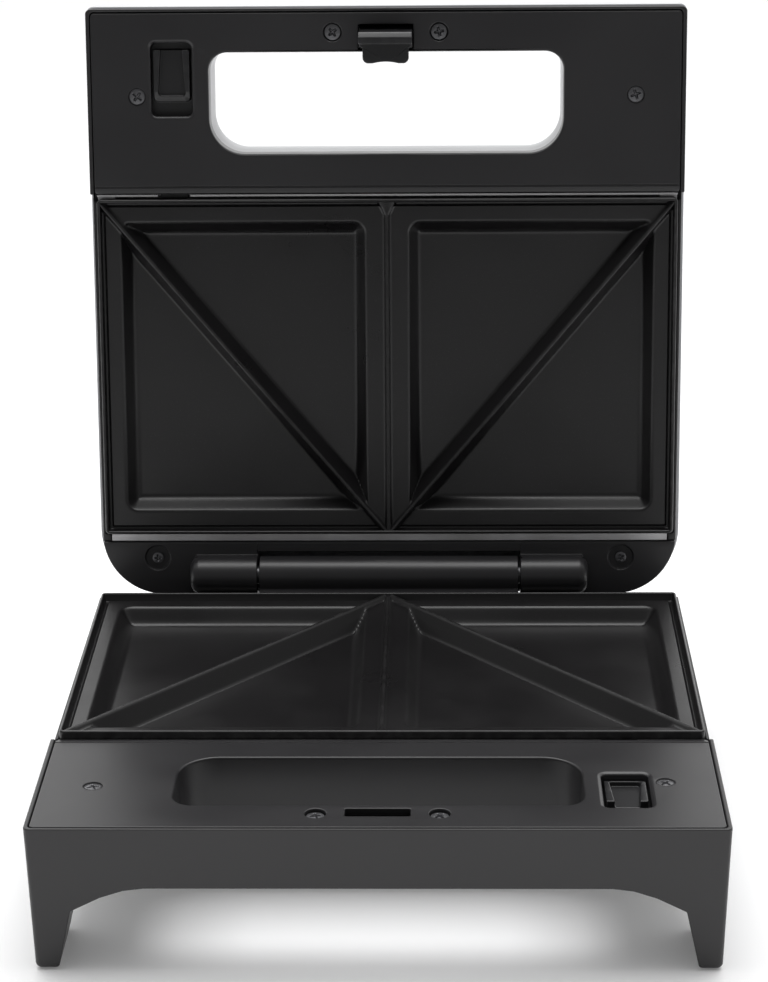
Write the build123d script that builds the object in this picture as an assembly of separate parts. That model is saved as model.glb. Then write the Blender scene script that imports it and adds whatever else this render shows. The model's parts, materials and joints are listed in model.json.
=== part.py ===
from build123d import *
from typing import NamedTuple
import math
import os

# Sandwich toaster with a hinged lid. Millimetres, +Z up, +Y to the hinge side.
# Every piece is drawn with the lid shut and y = 0 at the front top edge of the base.
# Lid pieces are then turned open about the hinge, and all pieces are moved so that the
# origin lies under the middle of the open toaster, on the surface it stands on.

# ---------------------------------------------------------------- driving dimensions
BODY_HALF_WIDTH = 127.5      # base, at its top edge
BODY_HEIGHT = 58.5           # base top face above the floor
BODY_DEPTH = 250.0           # front top edge to rear wall
SIDE_DRAFT = 1.6             # each side leans in by this much at the floor
FRONT_DRAFT = 2.9            # the front leans in by this much at the floor
FRONT_CORNER = 2.2
REAR_CORNER = 20.0
WALL = 2.4                   # moulded walls
FRONT_WALL = 3.6
FLOOR_Z = 34.0               # underside of the body between the legs
GAP_BETWEEN_COVERS = 7.0     # lower cover to upper cover, lid shut
PLATE_ZONE_SIDE = 1.8        # side walls set back beside the plate, from its edge
PLATE_ZONE_NARROWING = 0.4   # and closer still at the hinge side
HINGE_Y = BODY_DEPTH - 4.0
OPEN_ANGLE = 97.0
LID_THICKNESS = 36.0
LID_HALF_WIDTH = BODY_HALF_WIDTH + 0.5
LID_FRONT_OVERHANG = 0.6
LID_REAR_Y = BODY_DEPTH + 5.7
LID_CORNER = 27.0
LID_INNER_CORNER = 2.0
LID_EDGE_ROUND = 6.0
FRAME_HEIGHT = 10.0          # black part of the lid's edge

COVER_THICKNESS = 2.8
COVER_HALF_WIDTH = BODY_HALF_WIDTH - 2.0
COVER_FRONT_Y = 1.9
COVER_REAR_Y = 78.5
COVER_CORNER = 1.6
COVER_LIP = 3.0              # strip along the cover's rear edge, behind a fine groove
COVER_LIP_FALL = 0.3
CREASE = 0.35
COVER_SKIRT = 2.2
SEAT_GAP = 0.3               # around inset covers, and under loose pieces
FRONT_SEAT_GAP = 0.6         # in front of the inset covers

HANDLE_HALF_WIDTH = BODY_HALF_WIDTH - 52.0
HANDLE_REAR_Y = 61.5
HANDLE_FRONT_CORNER = 8.0
HANDLE_REAR_CORNER = 15.0
HANDLE_LIP = 0.9
HANDLE_WALL = 2.2

PLATE_HALF_WIDTH = BODY_HALF_WIDTH - 2.9
PLATE_FRONT_Y = COVER_REAR_Y + 2.2
PLATE_REAR_Y = BODY_DEPTH - 22.0
PLATE_CORNER = 2.0
PLATE_INNER_CORNER = 0.6
PLATE_RIM_HEIGHT = 2.3       # rim above the cover face
PLATE_RIM = 1.5
PLATE_DEPTH_IN_BODY = 4.0    # rim skirt below the cover face
PLATE_LAND = 2.5             # thickness of the flat land
LAND_DROP = 0.5              # land below the cover face
GROOVE_WIDTH = 1.7
GROOVE_DEPTH = 1.0
POCKET_INNER_X = 9.2
POCKET_OUTER_X = PLATE_HALF_WIDTH - 9.6
POCKET_FRONT_Y = PLATE_FRONT_Y + 10.3
POCKET_REAR_Y = PLATE_REAR_Y - 10.1
POCKET_DEPTH = 7.0
POCKET_SLOPE = 4.5
POCKET_CORNER = 4.0
POCKET_WALL = 2.0
RIDGE_CREST = 1.7            # above the cover face
RIDGE_TOP_HALF = 0.6
RIDGE_TOP_FLAT = 0.25
RIDGE_FOOT_HALF = 4.8
RIDGE_OUTER_X = PLATE_HALF_WIDTH - 2.6
RIDGE_INNER_X = 1.6
BEAD_HALF = 0.8              # bead between the two pockets
BEAD_DROP = 0.4              # its top below the ridge crest
FLARE_HALF = 3.2
FLARE_LENGTH = 7.0
PLATE_LUG_X = PLATE_HALF_WIDTH - 44.6
PLATE_LUG_WIDTH = 10.0
PLATE_LUG_LENGTH = 0.5
LUG_THICKNESS = 1.5

SHEET = 0.8                  # steel pans
PAN_FLOOR_Z = BODY_HEIGHT - 19.0
PAN_FRONT_Y = COVER_REAR_Y + 0.4
PAN_REAR_Y = PLATE_REAR_Y + 1.6
PAN_STRIP_END_Y = PLATE_REAR_Y + 3.7
PAN_HALF_WIDTH = PLATE_HALF_WIDTH - 6.6
PAN_STRIP_HALF_WIDTH = PLATE_HALF_WIDTH - 2.4
PAN_LEDGE_DROP = 5.1         # pan flange seat below the cover face
PAN_FRONT_LIP_DROP = 0.9
PAN_REAR_LIP_DROP = 1.5
PAN_SIDE_ROOM = 3.5          # air beside the pan's walls

ELEMENT_RADIUS = 3.25
ELEMENT_HOLE = ELEMENT_RADIUS + 0.4
ELEMENT_Z = BODY_HEIGHT - 13.3
ELEMENT_HALF_WIDTH = POCKET_OUTER_X - 15.0
ELEMENT_FRONT_Y = POCKET_FRONT_Y + 7.0
ELEMENT_REAR_Y = POCKET_REAR_Y - 5.9
ELEMENT_TAIL_X = 18.0
ELEMENT_TAIL_Y = BODY_DEPTH - 14.0
ELEMENT_BEND = 12.0

BUTTON_X = BODY_HALF_WIDTH - 36.1
RECESS_HALF_WIDTH = 8.75
RECESS_CORNER = 2.4
RECESS_WALL = 1.5
RECESS_DEPTH = 5.6
RECESS_BEVEL = 1.2
RECESS_BEVEL_DEPTH = 0.7
BUTTON_HALF_WIDTH = 7.75
BUTTON_CORNER = 2.0
BUTTON_NOSE = 4.6            # length of the sloped end of the button
BUTTON_NOSE_FALL = 1.6
BUTTON_DROP = 1.2            # button top below the cover face
BUTTON_TRAVEL = 2.7
THUMB_HALF_WIDTH = 5.9       # at its closed end
THUMB_OPEN_HALF_WIDTH = 4.6  # at its open end
THUMB_END = 2.6              # wall at the end of the thumb scoop
THUMB_CORNER = 1.6
THUMB_DEPTH = 2.7
BUTTON_FLANGE = 2.6
CATCH_THICKNESS = 1.0
CATCH_REACH_Y = PLATE_FRONT_Y - 0.1
CATCH_HALF_WIDTH = 6.0
TAB_THICKNESS = 1.1
TAB_HALF_WIDTH = 5.0
TAB_FRONT_Y = COVER_REAR_Y + 0.3
TAB_SIDE_GAP = 1.0           # notch in the pan and cover, wider than the tab on each side

COVER_SCREW_X = COVER_HALF_WIDTH - 19.3
COVER_SCREW_HEAD = 3.5
COVER_SCREW_RADIUS = 1.5
COVER_SCREW_LENGTH = 14.0
WELL_SCREW_X = 22.6
WELL_RADIUS = 3.9
WELL_HEAD_RADIUS = 3.3
WELL_WALL = 1.2
WELL_DEPTH = 2.5             # seat of the well screws below the cover face
WELL_REACH = 5.0             # wells reach below the cover's underside by this much
WELL_SCREW_LENGTH = 11.8
REAR_SCREW_X = PLATE_HALF_WIDTH - 22.6
REAR_SCREW_Y = BODY_DEPTH - 10.8
REAR_SCREW_RECESS = 5.5
REAR_SCREW_RECESS_DEPTH = 1.5
SMALL_SCREW_RADIUS = 1.25
SMALL_HEAD_RADIUS = 2.4
SMALL_HEAD_HEIGHT = 1.5
SMALL_SCREW_LENGTH = 8.0
PAN_HEAD_HEIGHT = 1.2
BOSS_RADIUS = 3.6
CROSS_WIDTH = 0.9
HEAD_SINK = 0.3              # countersunk heads below the cover face
CROSS_DEPTH = 1.0

BASE_SLOT_HALF_WIDTH = 12.0
BASE_SLOT_FRONT_Y = 11.1
BASE_SLOT_REAR_Y = 17.4
LID_SLOT_HALF_WIDTH = 11.7
LID_SLOT_FRONT_Y = 6.9
LID_SLOT_REAR_Y = 17.9
KEEPER_THICKNESS = 1.2
KEEPER_HALF_WIDTH = 28.0
KEEPER_FRONT_Y = 5.5
KEEPER_REAR_Y = 10.9
KEEPER_EAR = 2.4             # keeper's screw ears, behind the screws
LATCH_HALF_WIDTH = 11.3
LATCH_PIVOT_Y = 9.0
LATCH_PIVOT_Z = BODY_HEIGHT + 16.0
LATCH_ARM_FRONT_Y = 11.6
LATCH_ARM_THICKNESS = 2.6
LATCH_BARB_LENGTH = 2.3
LATCH_BARB_HEIGHT = 2.3
LATCH_TAB_HALF_WIDTH = 9.8
LATCH_TAB_REAR_Y = 23.1
LATCH_TAB_Z = BODY_HEIGHT + 2.5
LATCH_TAB_THICKNESS = 2.3
LATCH_TAB_DIP = 0.7          # hollow in the middle of the tab's end
LATCH_TAB_DIP_HALF = 5.5
LATCH_PIN_RADIUS = 1.5
LATCH_BOSS_WALL = 1.1
RUNNING_FIT = 0.03

BARREL_RADIUS = 8.2
BARREL_HALF_LENGTH = 56.7
KNUCKLE_GAP = 1.0
KNUCKLE_OUTER_X = 87.3
KNUCKLE_ROUND = 4.5
BARREL_CLEARANCE = 1.3
HINGE_PIN_RADIUS = 4.0
HINGE_PIN_BORE = 2.6
HINGE_PIN_INNER_X = 45.0
HINGE_PIN_OUTER_X = 75.0
HINGE_FIT = 0.05
DECK_Z = BODY_HEIGHT - 8.5   # top of the low deck behind the plate
DECK_THICKNESS = 2.5
DECK_FRONT_Y = PAN_STRIP_END_Y + 0.3
WEB_TOP_Z = BODY_HEIGHT - 0.5
WEB_REAR_Y = BODY_DEPTH - 3.0

LEG_FRONT_LENGTH = 40.0
LEG_REAR_LENGTH = 40.0
LEG_FOOT_X = BODY_HALF_WIDTH - 9.9    # inner face of a leg at the floor
LEG_KNEE_X = BODY_HALF_WIDTH - 15.5
LEG_KNEE_Z = 24.4
ARCH_SHOULDER_X = BODY_HALF_WIDTH - 26.5
ARCH_SHOULDER_Z = 30.1
ARCH_END_X = BODY_HALF_WIDTH - 42.5
LEG_END_Z = 0.4              # the rubber feet stand proud by this much
LEG_END_ROUND = 2.3
FOOT_THICKNESS = 2.0
FOOT_WIDTH = 3.2
FOOT_CORNER = 1.2
FOOT_GAP = 0.3
FOOT_LENGTH = 20.0
FOOT_X = BODY_HALF_WIDTH - 5.8
FOOT_FRONT_Y = 10.0
FOOT_REAR_Y = BODY_DEPTH - 33.5
FOOT_STUD_RADIUS = 1.4
FOOT_STUD_HEIGHT = 5.0

BOTTOM_HALF_WIDTH = ARCH_END_X - 1.0
BOTTOM_FRONT_Y = 86.0
BOTTOM_REAR_Y = BODY_DEPTH - 26.0
BOTTOM_THICKNESS = 2.0
BOTTOM_LAP = 6.0
VENT_COUNT = 7
VENT_LENGTH = 36.0
VENT_WIDTH = 3.0
VENT_PITCH = 11.0

CORD_X = 60.0
CORD_Z = BODY_HEIGHT - 17.0
BUSH_RADIUS = 5.0
BUSH_FLANGE_RADIUS = 7.0
BUSH_LENGTH = 9.0
BUSH_BORE = 3.2

LENS_RADIUS = 4.5
LENS_Y = 71.0
LENS_SPACING = 15.0
LENS_PROUD = 1.0
LENS_DEPTH = 8.0
LENS_WALL = 1.0
LAMP_RADIUS = 2.4
LAMP_LENGTH = 9.0

RELEASE_SPRING_RADIUS = 2.6
RELEASE_SPRING_WIRE = 0.4
RELEASE_SPRING_TURNS = 6
RELEASE_SPRING_Z = BODY_HEIGHT - 14.0
SPRING_RIB_Y = 14.2
SPRING_RIB = 1.6
SPRING_LUG_Y = 30.0
SPRING_LUG = 2.0
LATCH_SPRING_Y = 13.9
LATCH_SPRING_RADIUS = 1.6
LATCH_SPRING_WIRE = 0.3
LATCH_SPRING_SEAT_Z = BODY_HEIGHT + 14.9
LATCH_SPRING_TURNS = 7
LATCH_SPRING_TOP_Z = BODY_HEIGHT + 21.5
SPRING_END_GAP = 0.1

WIRE_RADIUS = 1.2
WIRE_BEND = 1.5
WIRE_REACH = 4.4           # beyond the element's end before the lead turns down
TERMINAL_X = 36.0
TERMINAL_HALF_WIDTH = 10.0
TERMINAL_DEPTH = 9.0
TERMINAL_HEIGHT = 8.0
TERMINAL_HOLE = 1.6
PAN_SCREW_X = PAN_HALF_WIDTH - 8.0
PAN_SCREW_Y = (PLATE_FRONT_Y + PLATE_REAR_Y) / 2 - 0.35
CLIP_OFFSET = 30.0           # element clips, before and behind the pan screws
THERMOSTAT_Y = PAN_SCREW_Y - 4.0
THERMOSTAT_RADIUS = 9.0
THERMOSTAT_HEIGHT = 6.5
FUSE_Y = PAN_SCREW_Y + 26.0
FUSE_RADIUS = 2.2
FUSE_LENGTH = 20.0


class Half(NamedTuple):
    """Where features lie along one front cover; the two covers differ a little."""

    handle_front: float
    recess_front: float
    recess_rear: float
    button_front: float
    button_rear: float
    well_y: float
    screw_left_y: float
    screw_right_y: float


LOWER = Half(20.3, 19.0, 47.7, 26.0, 46.9, 13.4, 36.4, 39.9)
UPPER = Half(18.5, 14.4, 45.4, 17.3, 39.5, 10.2, 37.0, 37.0)

# ---------------------------------------------------------------- levels worked out
COVER_TOP = BODY_HEIGHT
COVER_UNDER = COVER_TOP - COVER_THICKNESS
SHUT_Z = BODY_HEIGHT + GAP_BETWEEN_COVERS / 2
LID_FACE = BODY_HEIGHT + GAP_BETWEEN_COVERS
FRAME_TOP = LID_FACE + FRAME_HEIGHT
LID_TOP = LID_FACE + LID_THICKNESS
FLOOR_TOP = FLOOR_Z + WALL
LAND_Z = COVER_TOP - LAND_DROP
RIM_TOP = COVER_TOP + PLATE_RIM_HEIGHT
PLATE_BOTTOM = COVER_TOP - PLATE_DEPTH_IN_BODY
POCKET_FLOOR = LAND_Z - POCKET_DEPTH
PAN_LEDGE = COVER_TOP - PAN_LEDGE_DROP
SLIDE_Z = COVER_TOP - RECESS_DEPTH - SEAT_GAP
SLIDE_UNDER = SLIDE_Z - BUTTON_FLANGE
CATCH_TOP = COVER_UNDER - 0.4
CATCH_UNDER = CATCH_TOP - CATCH_THICKNESS
TAB_TOP = CATCH_UNDER - SEAT_GAP
TAB_UNDER = TAB_TOP - TAB_THICKNESS
WELL_SEAT = COVER_TOP - WELL_DEPTH
WELL_BOTTOM = COVER_UNDER - WELL_REACH
KEEPER_UNDER = WELL_BOTTOM - KEEPER_THICKNESS
KNUCKLE_INNER_X = BARREL_HALF_LENGTH + KNUCKLE_GAP
CAVITY_HALF_WIDTH = COVER_HALF_WIDTH - 1.3
PLATE_ZONE_Y = COVER_REAR_Y + 0.2
REAR_HALF_WIDTH = PLATE_HALF_WIDTH + 1.5
FAR = 2 * BODY_DEPTH         # beyond every piece, for cuts that go right across


def twin(z):
    """Height of the lid piece that mirrors a base piece at height z."""
    return 2 * SHUT_Z - z


# ---------------------------------------------------------------- shape helpers
def box(x0, x1, y0, y1, z0, z1):
    return Pos((x0 + x1) / 2, (y0 + y1) / 2, (z0 + z1) / 2) * Box(x1 - x0, y1 - y0, z1 - z0)


def outline(x0, x1, y0, y1, front_corner, rear_corner, z=0.0):
    """Face at height z with its own radius at the front and at the rear corners."""
    corners = [(x0, y0), (x1, y0), (x1, y1), (x0, y1)]
    radii = [front_corner, front_corner, rear_corner, rear_corner]
    edge = FilletPolyline(*corners, radius=radii, close=True)
    return Pos(0, 0, z) * make_face(edge)


def slab(x0, x1, y0, y1, z0, z1, front_corner, rear_corner=None):
    rear = front_corner if rear_corner is None else rear_corner
    return extrude(outline(x0, x1, y0, y1, front_corner, rear, z0), z1 - z0)


def both_sides(half_width, y0, y1, z0, z1, front_corner, rear_corner=None):
    return slab(-half_width, half_width, y0, y1, z0, z1, front_corner, rear_corner)


def post(x, y, z0, z1, radius):
    return Pos(x, y, (z0 + z1) / 2) * Cylinder(radius, z1 - z0)


def cone(x, y, z0, z1, radius0, radius1):
    return Pos(x, y, (z0 + z1) / 2) * Cone(radius0, radius1, z1 - z0)


def rod_x(x0, x1, y, z, radius):
    return Pos((x0 + x1) / 2, y, z) * Rot(0, 90, 0) * Cylinder(radius, x1 - x0)


def rod_y(x, y0, y1, z, radius):
    return Pos(x, (y0 + y1) / 2, z) * Rot(90, 0, 0) * Cylinder(radius, y1 - y0)


def profile_x(points, x0, x1):
    """Prism along X from (y, z) points."""
    face = make_face(Polyline(*[(x0, y, z) for y, z in points], close=True))
    return extrude(face, x1 - x0, dir=(1, 0, 0))


def profile_y(points, y0, y1):
    """Prism along Y from (x, z) points."""
    face = make_face(Polyline(*[(x, y0, z) for x, z in points], close=True))
    return extrude(face, y1 - y0, dir=(0, 1, 0))


def tube_along(path, radius):
    start = Plane(origin=path @ 0, z_dir=path % 0)
    return sweep(start * Circle(radius), path=path)


def spring(radius, wire, length, turns):
    """Open coil along +Z from z = 0, its wire inside the given length."""
    height = length - 2 * wire
    coil = Helix(height / turns, height, radius)
    return Pos(0, 0, wire) * tube_along(coil, wire)


def mirror_pair(make):
    return [make(side) for side in (-1, 1)]


def to_twin(piece):
    """Base position to lid position, lid shut: half a turn about the closing plane."""
    return Pos(0, 0, SHUT_Z) * Rot(0, 180, 0) * Pos(0, 0, -SHUT_Z) * piece


def to_open(piece):
    """Lid shut to lid open, about the hinge."""
    return Pos(0, HINGE_Y, SHUT_Z) * Rot(-OPEN_ANGLE, 0, 0) * Pos(0, -HINGE_Y, -SHUT_Z) * piece


def screw(x, y, head_top, head_radius, head_height, radius, length, countersunk=False):
    """Cross-recess screw pointing down, its head's top at head_top."""
    under = head_top - head_height
    if countersunk:
        head = cone(x, y, under, head_top, radius, head_radius)
    else:
        head = post(x, y, under, head_top, head_radius)
    body = head + post(x, y, under - length, under, radius)
    arm = head_radius * 0.62
    for half_x, half_y in ((arm, CROSS_WIDTH / 2), (CROSS_WIDTH / 2, arm)):
        body -= box(x - half_x, x + half_x, y - half_y, y + half_y, head_top - CROSS_DEPTH, head_top + 1)
    return body


# ---------------------------------------------------------------- shared openings
def handle_opening(half, grow, z0, z1):
    return both_sides(
        HANDLE_HALF_WIDTH + grow, half.handle_front - grow, HANDLE_REAR_Y + grow, z0, z1,
        HANDLE_FRONT_CORNER + grow, HANDLE_REAR_CORNER + grow,
    )


def handle_lip(half, z_low, z_high):
    """Bevel round the mouth of the handle opening."""
    low = outline(
        -HANDLE_HALF_WIDTH, HANDLE_HALF_WIDTH, half.handle_front, HANDLE_REAR_Y,
        HANDLE_FRONT_CORNER, HANDLE_REAR_CORNER, z_low,
    )
    high = outline(
        -HANDLE_HALF_WIDTH - HANDLE_LIP * 0.5, HANDLE_HALF_WIDTH + HANDLE_LIP * 0.5,
        half.handle_front - HANDLE_LIP * 0.5, HANDLE_REAR_Y + HANDLE_LIP * 0.5,
        HANDLE_FRONT_CORNER + HANDLE_LIP * 0.5, HANDLE_REAR_CORNER + HANDLE_LIP * 0.5, z_high,
    )
    return loft([low, high], ruled=True)


def recess_outline(half, grow, z):
    corner = RECESS_CORNER + grow
    return outline(
        BUTTON_X - RECESS_HALF_WIDTH - grow, BUTTON_X + RECESS_HALF_WIDTH + grow,
        half.recess_front - grow, half.recess_rear + grow, corner, corner, z,
    )


def recess(half, grow, z0, z1):
    return extrude(recess_outline(half, grow, z0), z1 - z0)


def recess_bevel(half):
    low = recess_outline(half, 0.0, COVER_TOP - RECESS_BEVEL_DEPTH)
    high = recess_outline(half, RECESS_BEVEL, COVER_TOP + 0.001)
    return loft([low, high], ruled=True)


def cover_screw_places(half):
    return ((-COVER_SCREW_X, half.screw_left_y), (COVER_SCREW_X, half.screw_right_y))


# ---------------------------------------------------------------- front covers
def front_cover(half, skirt_bottom, slot_half_width, slot_front_y, slot_rear_y):
    """Inset top panel with the handle opening, latch slot and release recess."""
    cover = both_sides(
        COVER_HALF_WIDTH, COVER_FRONT_Y, COVER_REAR_Y, COVER_UNDER, COVER_TOP, COVER_CORNER,
    )
    cover += box(
        -CAVITY_HALF_WIDTH + SEAT_GAP, CAVITY_HALF_WIDTH - SEAT_GAP,
        COVER_REAR_Y - 1.6, COVER_REAR_Y, COVER_UNDER - COVER_SKIRT, COVER_UNDER,
    )
    lip_start = COVER_REAR_Y - COVER_LIP
    cover -= profile_x([
        (lip_start, COVER_TOP + 0.01),
        (COVER_REAR_Y + 1.0, COVER_TOP + 0.01),
        (COVER_REAR_Y + 1.0, COVER_TOP - COVER_LIP_FALL),
        (COVER_REAR_Y, COVER_TOP - COVER_LIP_FALL),
    ], -LID_HALF_WIDTH, LID_HALF_WIDTH)
    cover -= profile_x([
        (lip_start - CREASE / 2, COVER_TOP + 0.01),
        (lip_start + CREASE / 2, COVER_TOP + 0.01),
        (lip_start, COVER_TOP - CREASE),
    ], -LID_HALF_WIDTH, LID_HALF_WIDTH)
    cover += handle_opening(half, HANDLE_WALL, skirt_bottom, COVER_UNDER)
    cover += recess(half, RECESS_WALL, COVER_TOP - RECESS_DEPTH, COVER_UNDER)
    for side in (-1, 1):
        cover += post(
            side * WELL_SCREW_X, half.well_y, WELL_BOTTOM, COVER_UNDER, WELL_RADIUS + WELL_WALL,
        )
    cover -= handle_opening(half, 0, skirt_bottom - 1, COVER_TOP + 1)
    cover -= handle_lip(half, COVER_TOP - HANDLE_LIP, COVER_TOP + 0.001)
    cover -= recess(half, 0, COVER_TOP - RECESS_DEPTH - 1, COVER_TOP + 1)
    cover -= recess_bevel(half)
    cover -= both_sides(slot_half_width, slot_front_y, slot_rear_y, KEEPER_UNDER - 8, COVER_TOP + 1, 0.8)
    cover -= box(
        BUTTON_X - CATCH_HALF_WIDTH - TAB_SIDE_GAP, BUTTON_X + CATCH_HALF_WIDTH + TAB_SIDE_GAP,
        COVER_REAR_Y - 2.5, COVER_REAR_Y + 1, COVER_UNDER - COVER_SKIRT - 1, COVER_UNDER,
    )
    seat = COVER_TOP - HEAD_SINK
    head_depth = COVER_SCREW_HEAD - COVER_SCREW_RADIUS
    for x, y in cover_screw_places(half):
        cover -= post(x, y, COVER_UNDER - 1, COVER_TOP + 1, COVER_SCREW_RADIUS)
        cover -= post(x, y, seat, COVER_TOP + 1, COVER_SCREW_HEAD)
        cover -= cone(
            x, y, seat - head_depth, seat, COVER_SCREW_RADIUS, COVER_SCREW_HEAD,
        )
    for x in (-WELL_SCREW_X, WELL_SCREW_X):
        cover -= post(x, half.well_y, WELL_SEAT, COVER_TOP + 1, WELL_RADIUS)
        cover -= post(x, half.well_y, WELL_BOTTOM - 1, COVER_TOP, SMALL_SCREW_RADIUS)
    return cover


def front_mounts(half, floor_z):
    """Pillars under the front cover, and the ribs that carry the release slide."""
    pieces = Part()
    rib_top = SLIDE_UNDER - SEAT_GAP
    for side in (-1, 1):
        rib_x = BUTTON_X + side * (BUTTON_HALF_WIDTH + 1.0)
        pieces += box(rib_x - 0.8, rib_x + 0.8, SPRING_RIB_Y, half.recess_rear + 8, floor_z, rib_top)
    pieces += box(
        BUTTON_X - BUTTON_HALF_WIDTH - 1, BUTTON_X + BUTTON_HALF_WIDTH + 1,
        SPRING_RIB_Y, SPRING_RIB_Y + SPRING_RIB, floor_z, rib_top,
    )
    screw_bottom = COVER_TOP - HEAD_SINK - COVER_SCREW_HEAD + COVER_SCREW_RADIUS - COVER_SCREW_LENGTH
    for x, y in cover_screw_places(half):
        pieces += post(x, y, floor_z, COVER_UNDER, BOSS_RADIUS)
        pieces -= post(x, y, screw_bottom, COVER_TOP, COVER_SCREW_RADIUS)
    screw_bottom = WELL_SEAT - WELL_SCREW_LENGTH
    for x in (-WELL_SCREW_X, WELL_SCREW_X):
        pieces += post(x, half.well_y, floor_z, KEEPER_UNDER, BOSS_RADIUS)
        pieces -= post(x, half.well_y, screw_bottom, COVER_TOP, SMALL_SCREW_RADIUS)
    return pieces


def pan_mounts(floor_z):
    """Short pillars that the pan is screwed to."""
    pieces = Part()
    for side in (-1, 1):
        pieces += post(side * PAN_SCREW_X, PAN_SCREW_Y, floor_z, PAN_FLOOR_Z, BOSS_RADIUS)
    return pieces


def cover_screws(half):
    depth = COVER_SCREW_HEAD - COVER_SCREW_RADIUS
    return [screw(
        x, y, COVER_TOP - HEAD_SINK, COVER_SCREW_HEAD, depth,
        COVER_SCREW_RADIUS, COVER_SCREW_LENGTH, countersunk=True,
    ) for x, y in cover_screw_places(half)]


def well_screws(half):
    top = WELL_SEAT + SMALL_HEAD_HEIGHT
    return mirror_pair(lambda side: screw(
        side * WELL_SCREW_X, half.well_y, top, WELL_HEAD_RADIUS, SMALL_HEAD_HEIGHT,
        SMALL_SCREW_RADIUS, WELL_SCREW_LENGTH,
    ))


def pan_screws():
    top = PAN_FLOOR_Z + SHEET + PAN_HEAD_HEIGHT
    return mirror_pair(lambda side: screw(
        side * PAN_SCREW_X, PAN_SCREW_Y, top, SMALL_HEAD_RADIUS, PAN_HEAD_HEIGHT,
        SMALL_SCREW_RADIUS, SHEET,
    ))


# ---------------------------------------------------------------- body shells
def body_block(z0):
    """Outside of the body from z0 up to the cover face, with the plate zone set back."""
    faces = []
    for z in (z0, COVER_TOP):
        lean = 1 - z / BODY_HEIGHT
        half = BODY_HALF_WIDTH - SIDE_DRAFT * lean
        faces.append(outline(
            -half, half, FRONT_DRAFT * lean, BODY_DEPTH - SIDE_DRAFT * lean,
            FRONT_CORNER, REAR_CORNER, z,
        ))
    block = loft(faces, ruled=True)
    block -= box(-FAR, FAR, PLATE_ZONE_Y, FAR, COVER_TOP - PAN_REAR_LIP_DROP, COVER_TOP + 1)
    front_half = PLATE_HALF_WIDTH + PLATE_ZONE_SIDE
    rear_half = front_half - PLATE_ZONE_NARROWING
    for side in (-1, 1):
        trim = [
            (side * front_half, PLATE_ZONE_Y),
            (side * rear_half, BODY_DEPTH + 5),
            (side * FAR, BODY_DEPTH + 5),
            (side * FAR, PLATE_ZONE_Y),
        ]
        face = make_face(Polyline(*[(x, y, COVER_TOP - FRAME_HEIGHT) for x, y in trim], close=True))
        block -= extrude(face, FRAME_HEIGHT + 1, dir=(0, 0, 1))
    return block


def upper_cavity(z0):
    """Hollow between the walls: cover seat, pan ledge and plate seat."""
    cavity = both_sides(CAVITY_HALF_WIDTH, FRONT_WALL, PLATE_ZONE_Y, z0, COVER_UNDER, 3.0, 0.2)
    cavity += both_sides(
        COVER_HALF_WIDTH + SEAT_GAP, COVER_FRONT_Y - FRONT_SEAT_GAP, COVER_REAR_Y + 4,
        COVER_UNDER, COVER_TOP + 1, COVER_CORNER + SEAT_GAP,
    )
    pan_room = PAN_HALF_WIDTH + PAN_SIDE_ROOM
    cavity += box(-pan_room, pan_room, COVER_REAR_Y, DECK_FRONT_Y, z0, PAN_LEDGE)
    cavity += box(
        -PLATE_HALF_WIDTH - SEAT_GAP, PLATE_HALF_WIDTH + SEAT_GAP,
        COVER_REAR_Y, PLATE_REAR_Y + 0.6, PAN_LEDGE, COVER_TOP + 1,
    )
    cavity += box(
        -PAN_STRIP_HALF_WIDTH - SEAT_GAP, PAN_STRIP_HALF_WIDTH + SEAT_GAP,
        PLATE_REAR_Y, DECK_FRONT_Y, PAN_LEDGE, COVER_TOP + 1,
    )
    return cavity


def underside_tunnels():
    """The space under the body: an arch from front to back and one from side to side."""
    half = [
        (LEG_FOOT_X, -1.0),
        (LEG_KNEE_X, LEG_KNEE_Z),
        (ARCH_SHOULDER_X, ARCH_SHOULDER_Z),
        (ARCH_END_X + 7.5, FLOOR_Z - 1.0),
        (ARCH_END_X, FLOOR_Z),
    ]
    points = half + [(-x, z) for x, z in reversed(half)]
    tunnels = profile_y(points, -5, BODY_DEPTH + 5)
    front_y = LEG_FRONT_LENGTH
    rear_y = BODY_DEPTH - LEG_REAR_LENGTH
    side = [
        (front_y - 5, -1.0),
        (front_y, LEG_KNEE_Z),
        (front_y + 9, ARCH_SHOULDER_Z),
        (front_y + 20, FLOOR_Z),
        (rear_y - 20, FLOOR_Z),
        (rear_y - 9, ARCH_SHOULDER_Z),
        (rear_y, LEG_KNEE_Z),
        (rear_y + 5, -1.0),
    ]
    tunnels += profile_x(side, -FAR, FAR)
    return tunnels


def foot_places():
    for side in (-1, 1):
        for y in (FOOT_FRONT_Y, FOOT_REAR_Y):
            yield side * FOOT_X, y + FOOT_LENGTH / 2


def foot_pad(x, y, grow=0.0):
    half_x = FOOT_WIDTH / 2 + grow
    half_y = FOOT_LENGTH / 2 + grow
    return slab(x - half_x, x + half_x, y - half_y, y + half_y, 0, FOOT_THICKNESS, FOOT_CORNER + grow)


def bottom_screw_places():
    for side in (-1, 1):
        for y in (BOTTOM_FRONT_Y + BOTTOM_LAP / 2, BOTTOM_REAR_Y - BOTTOM_LAP / 2):
            yield side * (BOTTOM_HALF_WIDTH - BOTTOM_LAP / 2), y


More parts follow.
